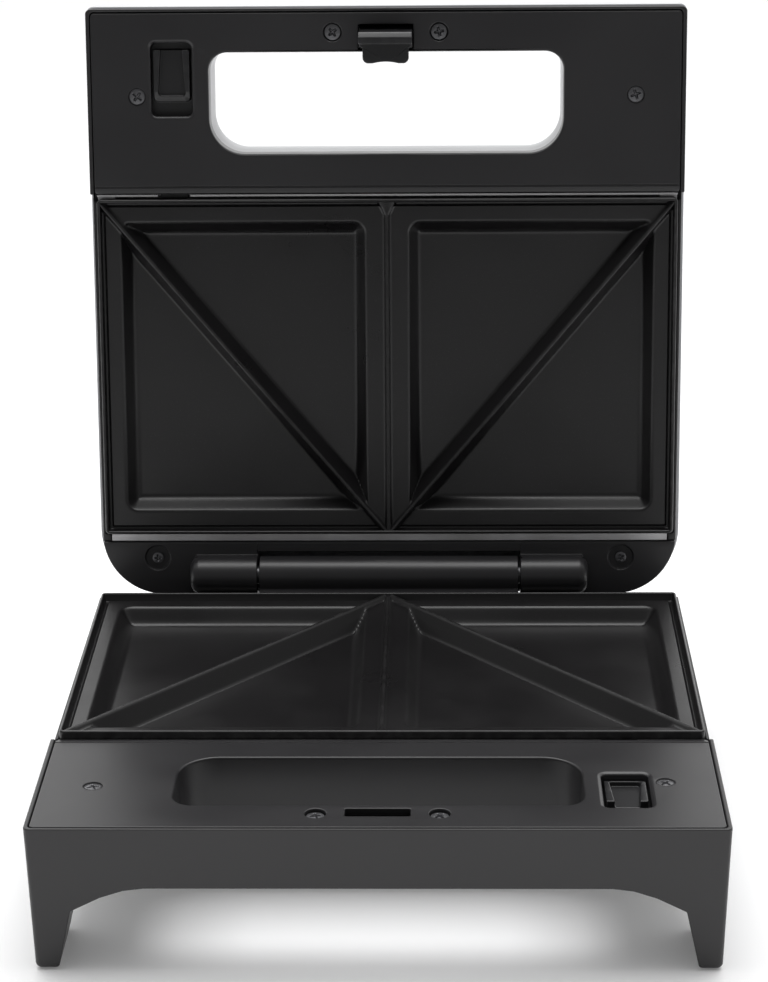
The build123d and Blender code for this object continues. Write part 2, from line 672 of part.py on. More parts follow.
def base_housing():
    body = body_block(LEG_END_Z)
    body -= box(-FAR, FAR, DECK_FRONT_Y - 0.1, FAR, DECK_Z - DECK_THICKNESS, COVER_TOP + 1)
    body -= underside_tunnels()
    body = fillet(body.edges().filter_by(lambda e: e.center().Z < LEG_END_Z + 0.01), LEG_END_ROUND)
    body -= both_sides(
        CAVITY_HALF_WIDTH, FRONT_WALL, BODY_DEPTH - WALL - 1, FLOOR_TOP, COVER_TOP - FRAME_HEIGHT,
        3.0, REAR_CORNER - 3.0,
    )
    body -= upper_cavity(COVER_TOP - FRAME_HEIGHT)
    body += front_mounts(LOWER, FLOOR_TOP) + pan_mounts(FLOOR_TOP)
    for side in (-1, 1):
        x = side * REAR_SCREW_X
        boss = post(x, REAR_SCREW_Y, FLOOR_TOP, DECK_Z - DECK_THICKNESS, BOSS_RADIUS)
        body += boss - post(x, REAR_SCREW_Y, FLOOR_TOP + 1, DECK_Z, SMALL_SCREW_RADIUS)
    body -= handle_opening(LOWER, HANDLE_WALL + SEAT_GAP, FLOOR_Z - 1, COVER_UNDER)
    body -= both_sides(
        BOTTOM_HALF_WIDTH - BOTTOM_LAP, BOTTOM_FRONT_Y + BOTTOM_LAP, BOTTOM_REAR_Y - BOTTOM_LAP,
        FLOOR_Z - 1, FLOOR_TOP + 1, 4.0,
    )
    for x, y in bottom_screw_places():
        body -= post(x, y, FLOOR_Z - 1, FLOOR_TOP + 1, SMALL_SCREW_RADIUS)
    for x, y in foot_places():
        body -= foot_pad(x, y, FOOT_GAP)
        body -= post(x, y, 0, FOOT_THICKNESS + FOOT_STUD_HEIGHT, FOOT_STUD_RADIUS)
    body -= rod_y(CORD_X, BODY_DEPTH - 8, BODY_DEPTH + 2, CORD_Z, BUSH_RADIUS)
    return body


def lid_frame():
    """Black ring round the lid's edge."""
    ring = body_block(COVER_TOP - FRAME_HEIGHT)
    half = REAR_HALF_WIDTH
    ring -= box(-FAR, FAR, DECK_FRONT_Y - 0.1, FAR, 0, FAR)
    tail = both_sides(
        half, DECK_FRONT_Y - 20, LID_REAR_Y, COVER_TOP - FRAME_HEIGHT, COVER_UNDER, 1.0, LID_CORNER,
    )
    ring += tail - box(-FAR, FAR, 0, DECK_FRONT_Y - 0.1, 0, FAR)
    ring -= upper_cavity(COVER_TOP - FRAME_HEIGHT - 1)
    ring -= both_sides(
        half - WALL, DECK_FRONT_Y - 30, LID_REAR_Y - WALL,
        COVER_TOP - FRAME_HEIGHT - 1, COVER_UNDER + 1, 1.0, LID_CORNER - WALL,
    )
    ring += box(
        -half + 1.5, half - 1.5, DECK_FRONT_Y, DECK_FRONT_Y + 1.6,
        COVER_TOP - FRAME_HEIGHT, COVER_UNDER,
    )
    ring -= hinge_relief()
    return to_twin(ring)


def hinge_relief():
    """Room in the lid for the base's barrel, given in base position."""
    reach = BARREL_RADIUS + BARREL_CLEARANCE
    relief = rod_x(-KNUCKLE_INNER_X, KNUCKLE_INNER_X, HINGE_Y, SHUT_Z, reach)
    relief += box(
        -KNUCKLE_INNER_X, KNUCKLE_INNER_X, HINGE_Y - reach, LID_REAR_Y + 1,
        SHUT_Z - reach + 2, SHUT_Z + 5,
    )
    return relief


def lid_outer_cover():
    """Silver shell of the lid with the inside wall of the handle opening."""
    shell = both_sides(
        LID_HALF_WIDTH, -LID_FRONT_OVERHANG, LID_REAR_Y, FRAME_TOP, LID_TOP,
        FRONT_CORNER + 0.5, LID_CORNER,
    )
    top_edges = shell.edges().filter_by(lambda e: e.center().Z > LID_TOP - 0.01)
    shell = fillet(top_edges, LID_EDGE_ROUND)
    shell -= both_sides(
        LID_HALF_WIDTH - WALL, WALL, LID_REAR_Y - WALL, FRAME_TOP - 1, LID_TOP - WALL,
        LID_INNER_CORNER, LID_CORNER - WALL,
    )
    shell += handle_opening(UPPER, HANDLE_WALL, FRAME_TOP, LID_TOP)
    inner_floor = twin(LID_TOP - WALL)
    posts = front_mounts(UPPER, inner_floor) + pan_mounts(inner_floor)
    for side in (-1, 1):
        x = side * REAR_SCREW_X
        boss = post(x, REAR_SCREW_Y, inner_floor, COVER_UNDER, BOSS_RADIUS)
        posts += boss - post(x, REAR_SCREW_Y, twin(LID_TOP) + 6, COVER_TOP, SMALL_SCREW_RADIUS)
    shell += to_twin(posts)
    shell += box(
        -4, 4, LATCH_SPRING_Y - 3, UPPER.handle_front - 1, LATCH_SPRING_TOP_Z, LID_TOP - WALL,
    )
    shell -= handle_opening(UPPER, 0, FRAME_TOP - 1, LID_TOP + 1)
    for x in lens_places():
        shell -= post(x, LENS_Y, LID_TOP - WALL - 1, LID_TOP + 1, LENS_RADIUS)
    return shell


def lens_places():
    return (-LENS_SPACING / 2, LENS_SPACING / 2)


# ---------------------------------------------------------------- rear covers and hinge
def base_rear_cover():
    """Low deck behind the plate with the centre hinge barrel."""
    cover = both_sides(
        REAR_HALF_WIDTH, DECK_FRONT_Y - 30, BODY_DEPTH - 0.4, DECK_Z - DECK_THICKNESS, DECK_Z,
        1.0, REAR_CORNER,
    )
    cover -= box(-FAR, FAR, 0, DECK_FRONT_Y, 0, FAR)
    cover += box(
        -PAN_STRIP_HALF_WIDTH, PAN_STRIP_HALF_WIDTH, DECK_FRONT_Y, DECK_FRONT_Y + 1.5,
        DECK_Z - DECK_THICKNESS, COVER_TOP - PAN_REAR_LIP_DROP - 0.5,
    )
    cover += box(
        -BARREL_HALF_LENGTH, BARREL_HALF_LENGTH, DECK_FRONT_Y + 0.5, WEB_REAR_Y,
        DECK_Z - DECK_THICKNESS, WEB_TOP_Z,
    )
    cover += rod_x(-BARREL_HALF_LENGTH, BARREL_HALF_LENGTH, HINGE_Y, SHUT_Z, BARREL_RADIUS)
    cover -= box(
        -BARREL_HALF_LENGTH + WALL, BARREL_HALF_LENGTH - WALL, DECK_FRONT_Y + 0.5 + WALL, WEB_REAR_Y - WALL,
        DECK_Z - DECK_THICKNESS - 1, WEB_TOP_Z - WALL - 2,
    )
    cover -= rod_x(-BARREL_HALF_LENGTH - 1, BARREL_HALF_LENGTH + 1, HINGE_Y, SHUT_Z, HINGE_PIN_RADIUS)
    cover -= box(
        -HINGE_PIN_INNER_X + 6, HINGE_PIN_INNER_X - 6, HINGE_Y - 2.5, HINGE_Y - 0.5, DECK_Z, SHUT_Z,
    )
    for side in (-1, 1):
        cover -= rod_y(
            side * ELEMENT_TAIL_X, DECK_FRONT_Y - 1, WEB_REAR_Y - WALL, ELEMENT_Z, ELEMENT_HOLE,
        )
        x = side * REAR_SCREW_X
        cover -= post(x, REAR_SCREW_Y, DECK_Z - 5, DECK_Z + 1, SMALL_SCREW_RADIUS)
        cover -= cone(
            x, REAR_SCREW_Y, DECK_Z - SMALL_HEAD_HEIGHT, DECK_Z, SMALL_SCREW_RADIUS, SMALL_HEAD_RADIUS,
        )
    return cover


def knuckle(side):
    length = KNUCKLE_OUTER_X - KNUCKLE_INNER_X
    drum = Cylinder(BARREL_RADIUS, length)
    drum = fillet(drum.edges().filter_by(GeomType.CIRCLE).sort_by(Axis.Z)[-1], KNUCKLE_ROUND)
    centre = side * (KNUCKLE_INNER_X + KNUCKLE_OUTER_X) / 2
    drum = Pos(centre, HINGE_Y, SHUT_Z) * Rot(0, 90 * side, 0) * drum
    x0 = side * KNUCKLE_INNER_X
    x1 = side * (KNUCKLE_OUTER_X - KNUCKLE_ROUND * 0.5)
    neck = slab(
        min(x0, x1), max(x0, x1), HINGE_Y - BARREL_RADIUS + 0.1, HINGE_Y + BARREL_RADIUS - 0.1,
        SHUT_Z, LID_FACE + 0.5, 0.5,
    )
    return drum + neck


def lid_rear_cover():
    """Panel behind the upper plate with the two knuckles."""
    cover = both_sides(
        REAR_HALF_WIDTH, DECK_FRONT_Y - 30, LID_REAR_Y, LID_FACE, twin(COVER_UNDER), 1.0, LID_CORNER,
    )
    cover -= box(-FAR, FAR, 0, DECK_FRONT_Y, 0, FAR)
    cover -= to_twin(hinge_relief())
    for side in (-1, 1):
        cover += knuckle(side)
        x = side * REAR_SCREW_X
        cover += post(x, REAR_SCREW_Y, LID_FACE, twin(COVER_UNDER), REAR_SCREW_RECESS + 1)
        cover -= post(x, REAR_SCREW_Y, LID_FACE - 1, LID_FACE + REAR_SCREW_RECESS_DEPTH, REAR_SCREW_RECESS)
        cover -= post(x, REAR_SCREW_Y, LID_FACE, LID_TOP, SMALL_SCREW_RADIUS)
    bore_end = HINGE_PIN_OUTER_X + 0.4
    cover -= rod_x(-bore_end, bore_end, HINGE_Y, SHUT_Z, HINGE_PIN_RADIUS + HINGE_FIT)
    return cover


def rear_screws_base():
    return mirror_pair(lambda side: screw(
        side * REAR_SCREW_X, REAR_SCREW_Y, DECK_Z, SMALL_HEAD_RADIUS, SMALL_HEAD_HEIGHT,
        SMALL_SCREW_RADIUS, SMALL_SCREW_LENGTH, countersunk=True,
    ))


def rear_screws_lid():
    top = twin(LID_FACE + REAR_SCREW_RECESS_DEPTH) + SMALL_HEAD_HEIGHT
    return [to_twin(screw(
        side * REAR_SCREW_X, REAR_SCREW_Y, top, SMALL_HEAD_RADIUS, SMALL_HEAD_HEIGHT,
        SMALL_SCREW_RADIUS, SMALL_SCREW_LENGTH,
    )) for side in (-1, 1)]


def hinge_pins():
    def pin(side):
        centre = side * (HINGE_PIN_INNER_X + HINGE_PIN_OUTER_X) / 2
        half = (HINGE_PIN_OUTER_X - HINGE_PIN_INNER_X) / 2
        tube = rod_x(centre - half, centre + half, HINGE_Y, SHUT_Z, HINGE_PIN_RADIUS)
        return tube - rod_x(centre - half - 1, centre + half + 1, HINGE_Y, SHUT_Z, HINGE_PIN_BORE)
    return mirror_pair(pin)


# ---------------------------------------------------------------- heating
def pan():
    """Pressed steel tray under a plate; its front and rear lips show beside the plate."""
    flange_top = PAN_LEDGE + SHEET
    tray = box(-PAN_HALF_WIDTH, PAN_HALF_WIDTH, PAN_FRONT_Y, PAN_REAR_Y, PAN_FLOOR_Z, flange_top)
    tray += box(
        -PLATE_HALF_WIDTH, PLATE_HALF_WIDTH, PAN_FRONT_Y, PLATE_REAR_Y + 0.4, PAN_LEDGE, flange_top,
    )
    tray += box(
        -PLATE_HALF_WIDTH, PLATE_HALF_WIDTH, PAN_FRONT_Y, PAN_FRONT_Y + SHEET,
        PAN_LEDGE, COVER_TOP - PAN_FRONT_LIP_DROP,
    )
    tray -= box(
        -PAN_HALF_WIDTH + SHEET, PAN_HALF_WIDTH - SHEET, PAN_FRONT_Y + SHEET, PAN_REAR_Y - SHEET,
        PAN_FLOOR_Z + SHEET, flange_top + 1,
    )
    lip_top = COVER_TOP - PAN_REAR_LIP_DROP
    tray += box(
        -PAN_STRIP_HALF_WIDTH, PAN_STRIP_HALF_WIDTH, PAN_REAR_Y - SHEET, PAN_REAR_Y, PAN_LEDGE, lip_top,
    )
    tray += box(
        -PAN_STRIP_HALF_WIDTH, PAN_STRIP_HALF_WIDTH, PAN_REAR_Y - SHEET, PAN_STRIP_END_Y,
        lip_top - SHEET, lip_top,
    )
    tray -= box(
        BUTTON_X - CATCH_HALF_WIDTH - TAB_SIDE_GAP, BUTTON_X + CATCH_HALF_WIDTH + TAB_SIDE_GAP,
        PAN_FRONT_Y - 1, PAN_FRONT_Y + SHEET + 0.01, TAB_UNDER - SEAT_GAP, COVER_TOP,
    )
    for side in (-1, 1):
        tray -= rod_y(side * ELEMENT_TAIL_X, PAN_REAR_Y - 5, PAN_REAR_Y + 5, ELEMENT_Z, ELEMENT_HOLE)
        tray -= post(
            side * PAN_SCREW_X, PAN_SCREW_Y, PAN_FLOOR_Z - 1, PAN_FLOOR_Z + 2, SMALL_SCREW_RADIUS,
        )
    return tray


def heating_element():
    """One tube bent into a loop, its two cold ends at the hinge side."""
    tail = ELEMENT_TAIL_X
    half = ELEMENT_HALF_WIDTH
    corners = [
        (-tail, ELEMENT_TAIL_Y, ELEMENT_Z),
        (-tail, ELEMENT_REAR_Y, ELEMENT_Z),
        (-half, ELEMENT_REAR_Y, ELEMENT_Z),
        (-half, ELEMENT_FRONT_Y, ELEMENT_Z),
        (half, ELEMENT_FRONT_Y, ELEMENT_Z),
        (half, ELEMENT_REAR_Y, ELEMENT_Z),
        (tail, ELEMENT_REAR_Y, ELEMENT_Z),
        (tail, ELEMENT_TAIL_Y, ELEMENT_Z),
    ]
    path = FilletPolyline(*corners, radius=ELEMENT_BEND)
    return tube_along(path, ELEMENT_RADIUS)


def element_clips():
    """Saddles that stand on the pan and hold the tube."""
    clips = []
    floor = PAN_FLOOR_Z + SHEET
    for side in (-1, 1):
        for y in (PAN_SCREW_Y - CLIP_OFFSET, PAN_SCREW_Y + CLIP_OFFSET):
            x = side * ELEMENT_HALF_WIDTH
            saddle = box(x - 5.5, x + 5.5, y - 4, y + 4, floor, ELEMENT_Z + 1.5)
            clips.append(saddle - rod_y(x, y - 5, y + 5, ELEMENT_Z, ELEMENT_RADIUS))
    return clips


def thermostat():
    floor = PAN_FLOOR_Z + SHEET
    disc = post(0, THERMOSTAT_Y, floor, floor + THERMOSTAT_HEIGHT, THERMOSTAT_RADIUS)
    for side in (-1, 1):
        x = side * (THERMOSTAT_RADIUS + 3.0)
        disc += box(x - 3.5, x + 3.5, THERMOSTAT_Y - 4, THERMOSTAT_Y + 4, floor, floor + 3.0)
    return disc


def thermal_fuse():
    floor = PAN_FLOOR_Z + SHEET
    half = FUSE_LENGTH / 2
    fuse = rod_x(-half, half, FUSE_Y, floor + FUSE_RADIUS, FUSE_RADIUS)
    return fuse + box(-3, 3, FUSE_Y - 4, FUSE_Y + 4, floor, floor + FUSE_RADIUS - 0.6)


# ---------------------------------------------------------------- plates
def plate():
    """Cast plate with two square pockets, each split corner to corner by a ridge."""
    half = PLATE_HALF_WIDTH
    body = both_sides(half, PLATE_FRONT_Y, PLATE_REAR_Y, PLATE_BOTTOM, RIM_TOP, PLATE_CORNER)
    inner = half - PLATE_RIM
    y0 = PLATE_FRONT_Y + PLATE_RIM
    y1 = PLATE_REAR_Y - PLATE_RIM
    corner = PLATE_INNER_CORNER
    body -= both_sides(inner, y0, y1, LAND_Z, RIM_TOP + 1, corner)
    body -= both_sides(inner, y0, y1, PLATE_BOTTOM - 1, LAND_Z - PLATE_LAND, corner)
    groove = both_sides(inner, y0, y1, LAND_Z - GROOVE_DEPTH, LAND_Z + 1, corner)
    groove -= both_sides(
        inner - GROOVE_WIDTH, y0 + GROOVE_WIDTH, y1 - GROOVE_WIDTH, LAND_Z - 2, LAND_Z + 2, corner,
    )
    body -= groove
    ridge_room = both_sides(inner, y0, y1, LAND_Z - PLATE_LAND, RIM_TOP, corner)
    for side in (-1, 1):
        tub = pocket(side, POCKET_WALL, POCKET_FLOOR - POCKET_WALL, LAND_Z - 0.01)
        body += tub
        ridge_room += tub
    for side in (-1, 1):
        body -= pocket(side, 0.0, POCKET_FLOOR, LAND_Z + 0.01)
        body += ridge(side) & ridge_room
    body += box(-BEAD_HALF, BEAD_HALF, y0, y1, LAND_Z - 0.5, COVER_TOP + RIDGE_CREST - BEAD_DROP)
    body += bead_flare(y0)
    for side in (-1, 1):
        lug = side * PLATE_LUG_X
        body += box(
            lug - PLATE_LUG_WIDTH / 2, lug + PLATE_LUG_WIDTH / 2, PLATE_REAR_Y - 0.5,
            PLATE_REAR_Y + PLATE_LUG_LENGTH, PLATE_BOTTOM + SEAT_GAP,
            PLATE_BOTTOM + SEAT_GAP + LUG_THICKNESS,
        )
    body += box(
        BUTTON_X - TAB_HALF_WIDTH, BUTTON_X + TAB_HALF_WIDTH, TAB_FRONT_Y, PLATE_FRONT_Y + 4,
        TAB_UNDER, TAB_TOP,
    )
    body += box(
        BUTTON_X - TAB_HALF_WIDTH, BUTTON_X + TAB_HALF_WIDTH, PLATE_FRONT_Y + 0.6, PLATE_FRONT_Y + 4,
        TAB_UNDER, LAND_Z - PLATE_LAND + 0.5,
    )
    return body


def bead_flare(y0):
    """Small wedge where the middle bead meets the front rim."""
    top = COVER_TOP + RIDGE_CREST - BEAD_DROP
    corners = ((-FLARE_HALF, y0, top), (FLARE_HALF, y0, top), (0, y0 + FLARE_LENGTH, top))
    return extrude(make_face(Polyline(*corners, close=True)), top - LAND_Z + 0.5, dir=(0, 0, -1))


def pocket(side, grow, floor_z, top_z):
    """Sloped square tub; grow widens it by the wall."""
    faces = []
    levels = ((POCKET_SLOPE, floor_z, POCKET_CORNER + 2), (0.0, top_z, POCKET_CORNER))
    for inset, z, corner in levels:
        a = side * (POCKET_INNER_X - grow + inset)
        b = side * (POCKET_OUTER_X + grow - inset)
        faces.append(outline(
            min(a, b), max(a, b), POCKET_FRONT_Y - grow + inset, POCKET_REAR_Y + grow - inset,
            corner, corner, z,
        ))
    return loft(faces, ruled=True)


def ridge(side):
    """Roof-shaped ridge from the outer front corner to the middle of the hinge side."""
    x0, y0 = RIDGE_OUTER_X, PLATE_FRONT_Y + PLATE_RIM + 1.8
    x1, y1 = RIDGE_INNER_X, PLATE_REAR_Y - PLATE_RIM
    length = math.hypot(x1 - x0, y1 - y0)
    angle = math.degrees(math.atan2(y1 - y0, side * (x1 - x0)))
    crest = COVER_TOP + RIDGE_CREST
    foot = POCKET_FLOOR - 1.0
    points = [
        (-RIDGE_FOOT_HALF, foot),
        (RIDGE_FOOT_HALF, foot),
        (RIDGE_FOOT_HALF, POCKET_FLOOR),
        (RIDGE_TOP_HALF, crest - 0.4),
        (RIDGE_TOP_FLAT, crest),
        (-RIDGE_TOP_FLAT, crest),
        (-RIDGE_TOP_HALF, crest - 0.4),
        (-RIDGE_FOOT_HALF, POCKET_FLOOR),
    ]
    bar = profile_x(points, 0, length)
    return Pos(side * x0, y0, 0) * Rot(0, 0, angle) * bar


# ---------------------------------------------------------------- release button
def release_button(half):
    """Thumb slide whose catch holds the plate's front tab."""
    x = BUTTON_X
    top = COVER_TOP - BUTTON_DROP
    body = slab(
        x - BUTTON_HALF_WIDTH, x + BUTTON_HALF_WIDTH, half.button_front, half.button_rear,
        SLIDE_UNDER, top, 0.8, BUTTON_CORNER,
    )
    body -= profile_x([
        (half.button_rear - BUTTON_NOSE, top),
        (half.button_rear - BUTTON_NOSE, top + 1),
        (half.button_rear + 1, top + 1),
        (half.button_rear + 1, top - BUTTON_NOSE_FALL),
        (half.button_rear, top - BUTTON_NOSE_FALL),
    ], x - BUTTON_HALF_WIDTH - 1, x + BUTTON_HALF_WIDTH + 1)
    closed_y = half.button_rear - THUMB_END
    open_y = half.button_front - 0.1
    scoop = make_face(FilletPolyline(
        (x - THUMB_OPEN_HALF_WIDTH, open_y), (x + THUMB_OPEN_HALF_WIDTH, open_y),
        (x + THUMB_HALF_WIDTH, closed_y), (x - THUMB_HALF_WIDTH, closed_y),
        radius=[0.05, 0.05, THUMB_CORNER, THUMB_CORNER], close=True,
    ))
    body -= extrude(Pos(0, 0, top - THUMB_DEPTH) * scoop, THUMB_DEPTH + 1)
    flange_half = RECESS_HALF_WIDTH + RECESS_WALL
    body += slab(
        x - flange_half, x + flange_half,
        half.recess_front - 0.8, half.recess_rear + BUTTON_TRAVEL + 1.5, SLIDE_UNDER, SLIDE_Z, 2.0,
    )
    riser = COVER_REAR_Y - 8.0
    left = x - CATCH_HALF_WIDTH
    right = x + CATCH_HALF_WIDTH
    body += box(left, right, half.recess_rear, riser + 3, SLIDE_UNDER, SLIDE_Z)
    body += box(left, right, riser, riser + 3, SLIDE_UNDER, CATCH_TOP)
    body += box(left, right, riser, CATCH_REACH_Y, CATCH_UNDER, CATCH_TOP)
    body += box(
        x - 4, x + 4, SPRING_LUG_Y, SPRING_LUG_Y + SPRING_LUG,
        RELEASE_SPRING_Z - RELEASE_SPRING_RADIUS - 1, SLIDE_UNDER + 0.5,
    )
    return body


def release_spring():
    start = SPRING_RIB_Y + SPRING_RIB + SPRING_END_GAP
    length = SPRING_LUG_Y - SPRING_END_GAP - start
    coil = spring(RELEASE_SPRING_RADIUS, RELEASE_SPRING_WIRE, length, RELEASE_SPRING_TURNS)
    return Pos(BUTTON_X, start, RELEASE_SPRING_Z) * Rot(-90, 0, 0) * coil


# ---------------------------------------------------------------- latch
def latch():
    """Hook with its thumb tab, lid shut."""
    arm_rear = LATCH_ARM_FRONT_Y + LATCH_ARM_THICKNESS
    barb_top = KEEPER_UNDER - SEAT_GAP
    barb_bottom = barb_top - LATCH_BARB_HEIGHT
    arm = [
        (LATCH_ARM_FRONT_Y, LATCH_TAB_Z),
        (LATCH_ARM_FRONT_Y, barb_top),
        (LATCH_ARM_FRONT_Y - LATCH_BARB_LENGTH, barb_top),
        (LATCH_ARM_FRONT_Y - LATCH_BARB_LENGTH, barb_top - 0.7),
        (LATCH_ARM_FRONT_Y, barb_bottom),
        (arm_rear, barb_bottom),
        (arm_rear, LATCH_TAB_Z),
    ]
    body_rear = LID_SLOT_REAR_Y - 1.5
    block = [
        (LATCH_ARM_FRONT_Y - 1.1, LATCH_TAB_Z),
        (body_rear, LATCH_TAB_Z),
        (body_rear, LATCH_SPRING_SEAT_Z),
        (LATCH_PIVOT_Y, LATCH_SPRING_SEAT_Z),
        (LATCH_PIVOT_Y - 2, LATCH_PIVOT_Z),
    ]
    half = LATCH_HALF_WIDTH
    piece = profile_x(arm, -half, half) + profile_x(block, -half, half)
    piece += rod_x(-half, half, LATCH_PIVOT_Y, LATCH_PIVOT_Z, LATCH_PIN_RADIUS + LATCH_BOSS_WALL)
    piece += both_sides(
        LATCH_TAB_HALF_WIDTH, LATCH_ARM_FRONT_Y, LATCH_TAB_REAR_Y, LATCH_TAB_Z,
        LATCH_TAB_Z + LATCH_TAB_THICKNESS, 0.5, 2.4,
    )
    dip_radius = (LATCH_TAB_DIP_HALF ** 2 + LATCH_TAB_DIP ** 2) / (2 * LATCH_TAB_DIP)
    piece -= post(
        0, LATCH_TAB_REAR_Y + dip_radius - LATCH_TAB_DIP,
        LATCH_TAB_Z - 1, LATCH_TAB_Z + LATCH_TAB_THICKNESS + 1, dip_radius,
    )
    piece -= rod_x(-half - 1, half + 1, LATCH_PIVOT_Y, LATCH_PIVOT_Z, LATCH_PIN_RADIUS + RUNNING_FIT)
    return piece


def latch_carrier():
    """Bracket with two ears that hold the latch pin."""
    plate_under = twin(WELL_BOTTOM)
    plate_top = plate_under + KEEPER_THICKNESS
    ear = LATCH_HALF_WIDTH + 1.3
    bracket = box(
        -KEEPER_HALF_WIDTH, KEEPER_HALF_WIDTH, KEEPER_FRONT_Y - 1.5, KEEPER_REAR_Y + 3,
        plate_under, plate_top,
    )
    bracket -= box(-ear, ear, KEEPER_FRONT_Y - 0.2, 30, plate_under - 1, plate_top + 1)
    for side in (-1, 1):
        x0 = side * ear
        x1 = side * (ear + 1.6)
        bracket += box(
            min(x0, x1), max(x0, x1), LATCH_PIVOT_Y - 3.4, LATCH_PIVOT_Y + 3.4,
            LATCH_PIVOT_Z - 4, LATCH_PIVOT_Z + 4,
        )
        bracket -= post(
            side * WELL_SCREW_X, UPPER.well_y, plate_under - 1, plate_top + 1, SMALL_SCREW_RADIUS,
        )
    bracket -= rod_x(-ear - 5, ear + 5, LATCH_PIVOT_Y, LATCH_PIVOT_Z, LATCH_PIN_RADIUS)
    return bracket


def latch_pin():
    end = LATCH_HALF_WIDTH + 3.4
    return rod_x(-end, end, LATCH_PIVOT_Y, LATCH_PIVOT_Z, LATCH_PIN_RADIUS)


def latch_spring():
    start = LATCH_SPRING_SEAT_Z + SPRING_END_GAP
    length = LATCH_SPRING_TOP_Z - SPRING_END_GAP - start
    coil = spring(LATCH_SPRING_RADIUS, LATCH_SPRING_WIRE, length, LATCH_SPRING_TURNS)
    return Pos(0, LATCH_SPRING_Y, start) * coil


def latch_keeper():
    strip = box(
        -KEEPER_HALF_WIDTH, KEEPER_HALF_WIDTH, KEEPER_FRONT_Y, KEEPER_REAR_Y, KEEPER_UNDER, WELL_BOTTOM,
    )
    for x in (-WELL_SCREW_X, WELL_SCREW_X):
        strip += box(
            x - BOSS_RADIUS, x + BOSS_RADIUS, KEEPER_REAR_Y - 1, LOWER.well_y + KEEPER_EAR,
            KEEPER_UNDER, WELL_BOTTOM,
        )
        strip -= post(x, LOWER.well_y, KEEPER_UNDER - 1, WELL_BOTTOM + 1, SMALL_SCREW_RADIUS)
    return strip


# ---------------------------------------------------------------- small pieces
def rubber_feet():
    feet = []
    for x, y in foot_places():
        stud = post(x, y, FOOT_THICKNESS, FOOT_THICKNESS + FOOT_STUD_HEIGHT, FOOT_STUD_RADIUS)
        feet.append(foot_pad(x, y) + stud)
    return feet


def bottom_cover():
    under = FLOOR_Z - BOTTOM_THICKNESS
    sheet = both_sides(BOTTOM_HALF_WIDTH, BOTTOM_FRONT_Y, BOTTOM_REAR_Y, under, FLOOR_Z, 5.0)
    for x in (-BOTTOM_HALF_WIDTH / 2, BOTTOM_HALF_WIDTH / 2):
        for row in range(VENT_COUNT):
            y = (BOTTOM_FRONT_Y + BOTTOM_REAR_Y) / 2 + (row - (VENT_COUNT - 1) / 2) * VENT_PITCH
            sheet -= slab(
                x - VENT_LENGTH / 2, x + VENT_LENGTH / 2, y - VENT_WIDTH / 2, y + VENT_WIDTH / 2,
                under - 1, FLOOR_Z + 1, VENT_WIDTH / 2 - 0.05,
            )
    for x, y in bottom_screw_places():
        sheet -= post(x, y, under - 1, FLOOR_Z + 1, SMALL_SCREW_RADIUS)
    return sheet


def bottom_screws():
    screws = []
    for x, y in bottom_screw_places():
        top = FLOOR_Z - BOTTOM_THICKNESS - SMALL_HEAD_HEIGHT
        upright = screw(x, y, 0, SMALL_HEAD_RADIUS, SMALL_HEAD_HEIGHT, SMALL_SCREW_RADIUS, 4.2)
        screws.append(Pos(0, 0, top) * Pos(x, y, 0) * Rot(180, 0, 0) * Pos(-x, -y, 0) * upright)
    return screws


def cord_bush():
    rear = BODY_DEPTH - SIDE_DRAFT * (1 - CORD_Z / BODY_HEIGHT)
    bush = rod_y(CORD_X, rear - WALL - 3, rear + BUSH_LENGTH - 4, CORD_Z, BUSH_RADIUS)
    bush += rod_y(CORD_X, rear + 0.5, rear + 2.5, CORD_Z, BUSH_FLANGE_RADIUS)
    return bush - rod_y(CORD_X, rear - 20, rear + 20, CORD_Z, BUSH_BORE)


def terminal_block():
    x = TERMINAL_X
    y = DECK_FRONT_Y + 1
    block = box(
        x - TERMINAL_HALF_WIDTH, x + TERMINAL_HALF_WIDTH, y, y + TERMINAL_DEPTH,
        FLOOR_TOP, FLOOR_TOP + TERMINAL_HEIGHT,
    )
    for step in (-1, 0, 1):
        hole_x = x + step * 6
        block -= post(hole_x, y + TERMINAL_DEPTH / 2, FLOOR_TOP + 5, FLOOR_TOP + 9, TERMINAL_HOLE)
    return block


def wires(route_list):
    return [tube_along(FilletPolyline(*route, radius=WIRE_BEND), WIRE_RADIUS) for route in route_list]


def base_wiring():
    """Leads from the two element ends to the side of the terminal block."""
    block_x = TERMINAL_X - TERMINAL_HALF_WIDTH
    turn_y = ELEMENT_TAIL_Y + WIRE_REACH
    routes = []
    for side, level in ((1, FLOOR_TOP + 5.6), (-1, FLOOR_TOP + 2.2)):
        x = side * ELEMENT_TAIL_X
        routes.append([
            (x, ELEMENT_TAIL_Y, ELEMENT_Z),
            (x, turn_y, ELEMENT_Z),
            (x, turn_y, level),
            (block_x, turn_y, level),
        ])
    return wires(routes)


def lens(x):
    cap = post(x, LENS_Y, LID_TOP - LENS_DEPTH, LID_TOP + LENS_PROUD, LENS_RADIUS)
    cap = fillet(cap.edges().filter_by(lambda e: e.center().Z > LID_TOP), 0.8)
    return cap - post(x, LENS_Y, LID_TOP - LENS_DEPTH - 1, LID_TOP - LENS_WALL, LENS_RADIUS - LENS_WALL)


def lamp(x):
    top = LID_TOP - LENS_WALL - SEAT_GAP
    bulb = post(x, LENS_Y, top - LAMP_LENGTH, top, LAMP_RADIUS)
    bulb = fillet(bulb.edges().filter_by(lambda e: e.center().Z > top - 0.1), 1.5)
    return bulb + post(x, LENS_Y, top - LAMP_LENGTH, top - LENS_DEPTH + 2.5, LENS_RADIUS - LENS_WALL)


